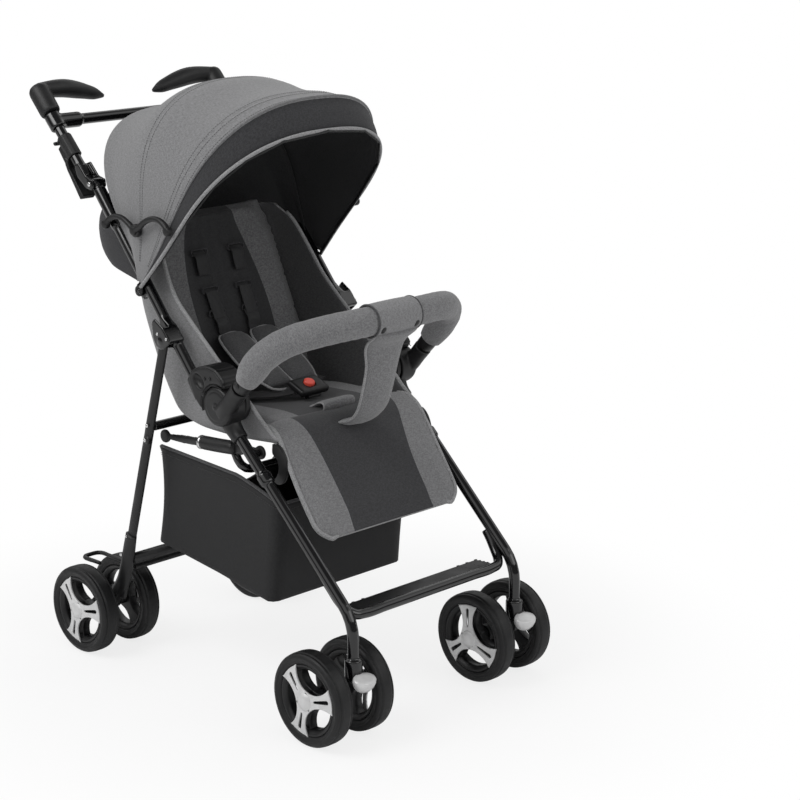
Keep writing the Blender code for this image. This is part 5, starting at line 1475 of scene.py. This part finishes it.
# %% [markdown]
# ## Moulded and bent parts, rounded off
# The frame's solids have flat facets and square edges. Real mouldings are drafted and rounded, and
# tubes are round. Each of these parts is meshed finely from its own solid and eased, so that it
# keeps its place and size and loses its facets.

# %% Ease the solids
def fuse(piece, voxel, rounds):
    fine = piece.modifiers.new("fine", "REMESH")
    fine.mode = "VOXEL"
    fine.voxel_size = voxel
    ease = piece.modifiers.new("ease", "SMOOTH")
    ease.iterations = rounds
    ease.factor = 0.5
    keep(piece)
    piece.data.shade_smooth()
    return piece


def eased(node_name, finish, voxel=0.0014, rounds=5):
    node = frame["nodes"][node_name]
    mesh = node.data.copy()
    mesh.materials.clear()
    mesh.materials.append(finish)
    piece = fuse(new_object(node_name + "_eased", mesh), voxel, rounds)
    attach(piece, node["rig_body"])
    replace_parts(piece, node_name)
    return piece


total = 0
for side_name in ("right", "left"):
    for stem, finish, slot, voxel, rounds in (
            ("front_leg", GLOSS_FRAME, "gloss_frame", 0.0016, 8),
            ("push_tube", GLOSS_FRAME, "gloss_frame", 0.0016, 8),
            ("handle_tube", GLOSS_FRAME, "gloss_frame", 0.0014, 7),
            ("rear_leg", MATT_FRAME, "matte_frame", 0.0017, 8),
            ("side_rail", BLACK_PLASTIC, "black_plastic", 0.0017, 7),
            ("lock_sleeve", BLACK_PLASTIC, "black_plastic", 0.0012, 5),
            ("caster_fork", BLACK_PLASTIC, "black_plastic", 0.0013, 5),
            ("bumper_button", BLACK_PLASTIC, "black_plastic", 0.0009, 4)):
        total += len(eased(stem + "_" + side_name, finish, voxel, rounds).data.polygons)
for node_name, finish, slot, voxel, rounds in (
        ("handle_crossbar", GLOSS_FRAME, "gloss_frame", 0.0016, 7),
        ("brake_bar", BLACK_PLASTIC, "black_plastic", 0.0016, 6),
        ("rear_cross_tube", GLOSS_FRAME, "gloss_frame", 0.0018, 7),
        ("rail_cross_tube", GLOSS_FRAME, "gloss_frame", 0.0018, 7),
        ("canopy_front_bow", BLACK_PLASTIC, "black_plastic", 0.0013, 5),
        ("buckle", BLACK_PLASTIC, "black_plastic", 0.0010, 4)):
    total += len(eased(node_name, finish, voxel, rounds).data.polygons)
print("eased faces", total)

# %% Grips
for side_name, sign in (("right", -1.0), ("left", 1.0)):
    axis = Vector((0.0, 0.126, 0.1375)).normalized()
    top = place(sign * 0.1878, 0.7010, 0.9450)
    sleeve_path = [top - axis * 0.0490, top - axis * 0.0480, top - axis * 0.0440, top - axis * 0.0060, top,
                   top + axis * 0.0050, top + axis * 0.0085]
    grip_sleeve = tube("grip_sleeve", sleeve_path, [0.0150, 0.0166, 0.0174, 0.0178, 0.0170, 0.0138, 0.0070],
                       GRIP_PLASTIC, sides=40)
    horn_path = smooth_path([place(sign * x, y, z) for x, y, z in (
        (0.1880, 0.7000, 0.9440), (0.1600, 0.7015, 0.9450), (0.1360, 0.7020, 0.9440),
        (0.1060, 0.7020, 0.9385), (0.0800, 0.7015, 0.9320), (0.0600, 0.7010, 0.9265),
        (0.0535, 0.7005, 0.9248))], 48)
    horn_round = along_list([0.0130, 0.0140, 0.0152, 0.0156, 0.0148, 0.0128, 0.0102, 0.0030], 48)
    horn = tube("grip_horn", horn_path, list(horn_round), GRIP_PLASTIC, sides=36,
                first=Vector((0.0, 1.0, 0.0)))
    grip = fuse(join("grip_" + side_name + "_moulded", grip_sleeve, horn), 0.0013, 7)
    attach(grip, "handle")
    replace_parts(grip, "grip_" + side_name)

# %% Screws, rivets, pins and rings
for side_name, sign in (("right", -1.0), ("left", 1.0)):
    away = (sign, 0.0, 0.0)
    domes("fold_rivets_" + side_name, [place(sign * 0.2120, 0.2376, 0.4893)], [away],
          (0.0030, 0.0030, 0.0012), BLACK_PLASTIC, "front_frame")
    domes("housing_screws_" + side_name, [place(sign * 0.2105, 0.2630, 0.5310),
                                          place(sign * 0.2105, 0.2500, 0.5330),
                                          place(sign * 0.2105, 0.2660, 0.5050)], [away] * 3,
                                          (0.0032, 0.0032, 0.0013), GRIP_PLASTIC, "push_frame")
    domes("clevis_rivets_" + side_name, [place(sign * 0.2095, 0.3560, 0.5790),
                                         place(sign * 0.2095, 0.3780, 0.5840)], [away] * 2,
          (0.0028, 0.0028, 0.0012), STEEL, "push_frame")
    domes("leg_bolts_" + side_name, [place(sign * 0.2048, 0.4180, 0.4230),
                                     place(sign * 0.2048, 0.4249, 0.3970)],
          [away] * 2, (0.0034, 0.0034, 0.0016), STEEL, "rear_frame")
    domes("foot_bolts_" + side_name, [place(sign * 0.2010, 0.4880, 0.2150),
                                      place(sign * 0.2010, 0.5050, 0.1780)],
          [away] * 2, (0.0032, 0.0032, 0.0015), STEEL, "rear_frame")
    domes("hinge_rivet_" + side_name, [place(sign * 0.1990, 0.5570, 0.8040)], [away],
          (0.0040, 0.0040, 0.0016), STEEL, "push_frame")
    domes("connector_screw_" + side_name, [place(sign * 0.1975, 0.6520, 0.8930)], [away],
          (0.0030, 0.0030, 0.0014), STEEL, "handle")
    rail_sleeve = tube("rail_sleeve_" + side_name, smooth_path([place(sign * 0.1640, 0.3250, 0.4057),
                                                                place(sign * 0.1636, 0.2900, 0.4080),
                                                                place(sign * 0.1628, 0.2450, 0.4120)], 14),
                       [0.0106] + [0.0114] * 12 + [0.0104], BLACK_PLASTIC, sides=32)
    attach(rail_sleeve, "side_rails")
    ring = spun("rail_ring_" + side_name, [(-0.0032, 0.0060), (-0.0030, 0.0112), (0.0030, 0.0116),
                                           (0.0034, 0.0060)],
                place(sign * 0.1636, 0.3260, 0.4055), STEEL, axis=Vector((0.0, 0.996, -0.084)), sides=40)
    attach(ring, "side_rails")
print("small metal parts set")


# %% [markdown]
# ## Fold housings
# The housing is a soft-edged shell that hugs the round cap of the fold joint and takes the push
# tube. An oval recess lies beside the cap, cut with a Boolean and rounded by the same easing.

# %% Housing shells
CAP = (0.236, 0.490)


def polar(angle, radius):
    return (CAP[0] + radius * math.cos(math.radians(angle)),
            CAP[1] + radius * math.sin(math.radians(angle)))


hug = [polar(a, 0.0333) for a in np.linspace(-24.0, 118.0, 26)]
hood_outline = hug + [(0.2165, 0.5290), (0.2237, 0.5375), (0.2375, 0.5485), (0.2592, 0.5520),
                      (0.2780, 0.5480), (0.2940, 0.5415), (0.3025, 0.5340), (0.3040, 0.5240),
                      (0.3010, 0.5120), (0.2900, 0.4930), (0.2780, 0.4810)]
for side_name, sign in (("right", -1.0), ("left", 1.0)):
    shell_part = plate("hood", hood_outline, sign * 0.1640, sign * 0.2098, BLACK_PLASTIC, "push_frame",
                       0.0035)
    sleeve_dir = (place(0.0, 0.557, 0.804) - place(0.0, 0.300, 0.498)).normalized()
    low = place(sign * 0.184, 0.296, 0.4932)
    collar = tube("collar", [low, low + sleeve_dir * 0.028, low + sleeve_dir * 0.036],
                  [0.0150, 0.0135, 0.0122], BLACK_PLASTIC, sides=32)
    inner_disc = spun("inner_disc", [(-0.0045, 0.0), (-0.0045, 0.0300), (0.0045, 0.0300), (0.0045, 0.0)],
                      place(sign * 0.1680, *CAP), BLACK_PLASTIC, sides=48, closed=False)
    housing = join("fold_housing_" + side_name + "_shell", shell_part, collar, inner_disc)
    bite = spun("bite", [(-0.0090 * math.cos(a), 0.0100 * math.sin(a))
                         for a in np.linspace(0.0, math.pi, 14)],
                place(sign * 0.2110, 0.2770, 0.5240), BLACK_PLASTIC, sides=28, closed=False)
    outward(bite, 0.0001)
    stretch = Matrix.Rotation(math.radians(-50.0), 4, "X") @ Matrix.Diagonal((1.0, 1.0, 1.55, 1.0))
    middle = place(sign * 0.2110, 0.2770, 0.5240)
    bite.data.transform(Matrix.Translation(middle) @ stretch @ Matrix.Translation(-middle))
    cut = housing.modifiers.new("recess", "BOOLEAN")
    cut.operation = "DIFFERENCE"
    cut.object = bite
    keep(housing)
    bpy.data.objects.remove(bite)
    fuse(housing, 0.0011, 4)
    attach(housing, "push_frame")
    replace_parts(housing, "fold_housing_" + side_name)
    seam_path = [place(sign * 0.2100, *polar(a, 0.0338)) for a in np.linspace(-20.0, 116.0, 40)]
    seam_ring = tube("fold_seam_" + side_name, seam_path, 0.0007, RIM_PLASTIC, sides=8)
    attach(seam_ring, "push_frame")

# %% [markdown]
# ## Canopy stays
# Each stay is two arched links that meet in a round knuckle. A link is a round tube along a few
# measured points, with a knob at each end, all fused to one smooth moulding.

# %% Links of the canopy's stays
REAR_LINK = [(0.5130, 0.7440), (0.5050, 0.7520), (0.4920, 0.7590), (0.4790, 0.7605), (0.4650, 0.7580),
             (0.4520, 0.7515), (0.4410, 0.7455), (0.4340, 0.7435)]
FRONT_LINK = [(0.4340, 0.7440), (0.4190, 0.7525), (0.4060, 0.7615), (0.3925, 0.7672), (0.3795, 0.7692),
              (0.3665, 0.7672), (0.3555, 0.7610), (0.3490, 0.7530)]
for side_name, sign in (("right", -1.0), ("left", 1.0)):
    for stem, line, x in (("canopy_stay_rear", REAR_LINK, 0.2010),
                          ("canopy_stay_front", FRONT_LINK, 0.2050)):
        link = tube("link", smooth_path([place(sign * x, y, z) for y, z in line], 40),
                    list(along_list([0.0058, 0.0050, 0.0047, 0.0047, 0.0050, 0.0058], 40)), BLACK_PLASTIC,
                    sides=20)
        knobs = []
        for (y, z), radius in ((line[0], 0.0074), (line[-1], 0.0074 if "front" in stem else 0.0108)):
            knobs.append(spun("knob", [(-0.0050, 0.0), (-0.0050, radius * 0.85), (-0.0036, radius),
                                       (0.0036, radius),
                                       (0.0050, radius * 0.85), (0.0058, radius * 0.4), (0.0058, 0.0)],
                              place(sign * x, y, z), BLACK_PLASTIC, axis=X_AXIS * sign, sides=32,
                              closed=False))
        link_piece = fuse(join(stem + "_" + side_name + "_round", link, *knobs), 0.0010, 3)
        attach(link_piece, frame["nodes"][stem + "_" + side_name]["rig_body"])
        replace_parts(link_piece, stem + "_" + side_name)

# %% [markdown]
# ## Caps of the fold joints
# The cap is a turned disc with two sockets: a neck goes down to the front leg, and a curved arm
# goes forward and up to the bumper bar. Fusing the three gives the fillets of one moulding.

# %% Caps with their two sockets
for side_name, sign in (("right", -1.0), ("left", 1.0)):
    cap_part = spun("cap", [(-0.0180, 0.0), (-0.0180, 0.0322), (0.0105, 0.0325), (0.0150, 0.0310),
                            (0.0170, 0.0280), (0.0170, 0.0235), (0.0178, 0.0225), (0.0182, 0.0070),
                            (0.0190, 0.0050), (0.0192, 0.0)],
                    place(sign * 0.1930, *CAP), BLACK_PLASTIC, axis=X_AXIS * sign, sides=64, closed=False)
    neck_path = smooth_path([place(sign * x, y, z) for x, y, z in ((0.1880, 0.2340, 0.4760),
                                                                   (0.1855, 0.2290, 0.4610),
                                                                   (0.1840, 0.2180, 0.4470),
                                                                   (0.1840, 0.2080, 0.4380))], 20)
    neck = tube("neck", neck_path, list(along_list([0.0160, 0.0155, 0.0138, 0.0128], 20)), BLACK_PLASTIC,
                sides=32)
    arm_path = smooth_path([place(sign * x, y, z) for x, y, z in ((0.1990, 0.2290, 0.4820),
            (0.2025, 0.2160, 0.4920), (0.2035, 0.2010, 0.5080), (0.2035, 0.1850, 0.5258))], 24)
    arm_part = tube("arm", arm_path, list(along_list([0.0150, 0.0150, 0.0145, 0.0150], 24)), BLACK_PLASTIC,
                    sides=32)
    cap_piece = fuse(join("fold_cap_" + side_name, cap_part, neck, arm_part), 0.0011, 3)
    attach(cap_piece, "front_frame")
    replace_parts(cap_piece, "fold_disc_" + side_name)

# %% [markdown]
# ## Rear feet, footrest and levers
# The rear feet are slim boots round the legs' lower ends, joined by a beam. The footrest is a bent
# tube with a board behind it. A silver lever shaped like a small bowl locks each front caster.

# %% Beam and boots of the rear axle
parts = [tube("beam", [place(-0.1880, 0.488, 0.173), place(0.1880, 0.488, 0.173)], 0.0092, BLACK_PLASTIC,
              sides=28, first=Vector((0, 0, 1)))]
for sign in (-1.0, 1.0):
    boot = [place(sign * 0.1948, 0.482, 0.218), place(sign * 0.1940, 0.487, 0.202),
            place(sign * 0.1925, 0.499, 0.164),
            place(sign * 0.1905, 0.515, 0.125), place(sign * 0.1900, 0.535, 0.098),
            place(sign * 0.1900, 0.558, 0.080)]
    parts.append(tube("boot", smooth_path(boot, 30), list(along_list([0.0075, 0.0085, 0.0088, 0.0092,
                                                                      0.0105, 0.0115], 30)), BLACK_PLASTIC,
                      sides=28, flat=list(along_list([0.0118, 0.0128, 0.0132, 0.0140, 0.0145, 0.0140],
                                                     30))))
    parts.append(spun("boss", [(-0.0235, 0.0), (-0.0235, 0.0120), (-0.0220, 0.0135), (0.0220, 0.0135),
                               (0.0235, 0.0120), (0.0235, 0.0)],
                      place(sign * REAR_X, REAR_AXLE_Y, AXLE_Z), BLACK_PLASTIC, sides=36, closed=False))
    parts.append(tube("axle", [place(sign * (REAR_X - 0.0665), REAR_AXLE_Y, AXLE_Z),
                               place(sign * (REAR_X + 0.0665), REAR_AXLE_Y, AXLE_Z)],
                      0.0039, STEEL, sides=20, first=Vector((0, 0, 1))))
boots = join("rear_axle_boots", *parts)
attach(boots, "rear_frame")
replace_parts(boots, "rear_axle")

# %% Footrest
foot_half = [(0.1800, 0.0160, 0.2470), (0.1790, 0.0080, 0.2380), (0.1760, -0.0060, 0.2210),
             (0.1710, -0.0180, 0.2090), (0.1620, -0.0260, 0.2025), (0.1450, -0.0285, 0.2005),
             (0.1000, -0.0288, 0.2005), (0.0, -0.0288, 0.2005)]
foot_path = ([place(-x, y, z) for x, y, z in foot_half]
             + [place(x, y, z) for x, y, z in reversed(foot_half[:-1])])
foot_tube = tube("footrest_bar", smooth_path(foot_path, 110), 0.0080, GLOSS_FRAME, sides=24,
                 first=Vector((0.0, 1.0, 0.2)))
board_rows = []
for x in np.linspace(-0.1580, 0.1580, 90):
    end = min(1.0, (0.1580 - abs(x)) / 0.010 + 0.05) ** 0.5
    row = []
    for k in range(24):
        turn = math.tau * k / 24
        c = math.cos(turn)
        s = math.sin(turn)
        v = math.copysign(abs(c) ** 0.25, c) * 0.0205 * (0.80 + 0.20 * end)
        w = math.copysign(abs(s) ** 0.5, s) * 0.0042 * end
        row.append(place(x, -0.0060 + v, 0.2010 + w - v * 0.06))
    board_rows.append(row)
board = outward(net("footrest_board", board_rows, BLACK_PLASTIC, closed=True, caps=True))
footrest = join("footrest_round", foot_tube, board)
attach(footrest, "front_frame")
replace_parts(footrest, "footrest")
grip_spots = [place(sign * (0.0980 + 0.0105 * i), -0.0170 + 0.0085 * j + 0.0040 * (i % 2),
                    0.2052 - 0.0005 * j)
              for sign in (-1.0, 1.0) for i in range(6) for j in range(4)]
domes("footrest_grips", grip_spots, [(0.0, 0.06, 1.0)] * len(grip_spots), (0.0034, 0.0022, 0.0006),
      GRIP_PLASTIC, "front_frame")

# %% Swivel-lock levers
for side_name, sign in (("right", -1.0), ("left", 1.0)):
    rows = []
    for drop, reach in ((0.0, 0.0130), (0.0, 0.0186), (0.0022, 0.0205), (0.0070, 0.0206), (0.0130, 0.0184),
                        (0.0182, 0.0138),
                        (0.0215, 0.0084), (0.0230, 0.0036)):
        rows.append([place(sign * FRONT_X + reach * math.cos(t),
                           -0.0690 + 0.72 * reach * math.sin(t) + 0.22 * drop,
                           0.1165 - drop + 0.20 * reach * math.sin(t))
                     for t in np.linspace(0.0, math.tau, 41)[:-1]])
    dish = outward(net("lever_" + side_name, rows, SILVER, closed=True, caps=True))
    stem = tube("stem", [place(sign * FRONT_X, -0.0500, 0.1120), place(sign * FRONT_X, -0.0600, 0.1080),
                         place(sign * FRONT_X, -0.0675, 0.1010)],
                0.0045, BLACK_PLASTIC, sides=16)
    lever = join("swivel_lever_" + side_name, dish, stem)
    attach(lever, "swivel_lock_" + side_name)
    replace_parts(lever, "swivel_lock_" + side_name)
print("housings, boots, footrest and levers made")


# %% [markdown]
# ## Floor
# A plain pale floor takes the shadow under the wheels. Away from the stroller it turns into plain
# white, so that no horizon shows.

# %% Floor and finish
FLOOR_Z = -0.0014
floor_mesh = bpy.data.meshes.new("floor")
floor_mesh.from_pydata([(-9, -9, FLOOR_Z), (9, -9, FLOOR_Z), (9, 9, FLOOR_Z), (-9, 9, FLOOR_Z)], [],
                       [(0, 1, 2, 3)])
floor_recipe = Recipe("pale_floor")
floor_place = floor_recipe.put("TexCoord").outputs["Object"]
distance = floor_recipe.put("VectorMath", {"operation": "LENGTH"}, _0=floor_place).outputs["Value"]
away = floor_recipe.put("MapRange", {"interpolation_type": "SMOOTHSTEP"}, Value=distance, From_Min=0.42,
                        From_Max=0.90, To_Min=0.80, To_Max=1.0).outputs["Result"]
ray = floor_recipe.put("LightPath")
glimpse = floor_recipe.put("Math", {"operation": "MAXIMUM"}, _0=ray.outputs["Is Camera Ray"],
                           _1=0.0).outputs[0]
glow = floor_recipe.put("Math", {"operation": "MULTIPLY"}, _0=away, _1=glimpse).outputs[0]
white = floor_recipe.put("Emission", Color=(1.0, 1.0, 1.0, 1.0), Strength=1.0)
mixed = floor_recipe.put("MixShader", _0=glow, _1=floor_recipe.shader.outputs[0], _2=white.outputs[0])
floor_recipe.links.new(mixed.outputs[0], floor_recipe.nodes["Material Output"].inputs["Surface"])
dust = floor_recipe.noise(floor_place, 3.0)
floor_recipe.finish(floor_recipe.blend(floor_recipe.span(dust, 0.0, 1.0), (0.96, 0.96, 0.96),
                                       (0.93, 0.93, 0.935)),
                    Roughness=0.9, Specular_IOR_Level=0.1)
floor = new_object("floor", floor_mesh, floor_recipe.material)
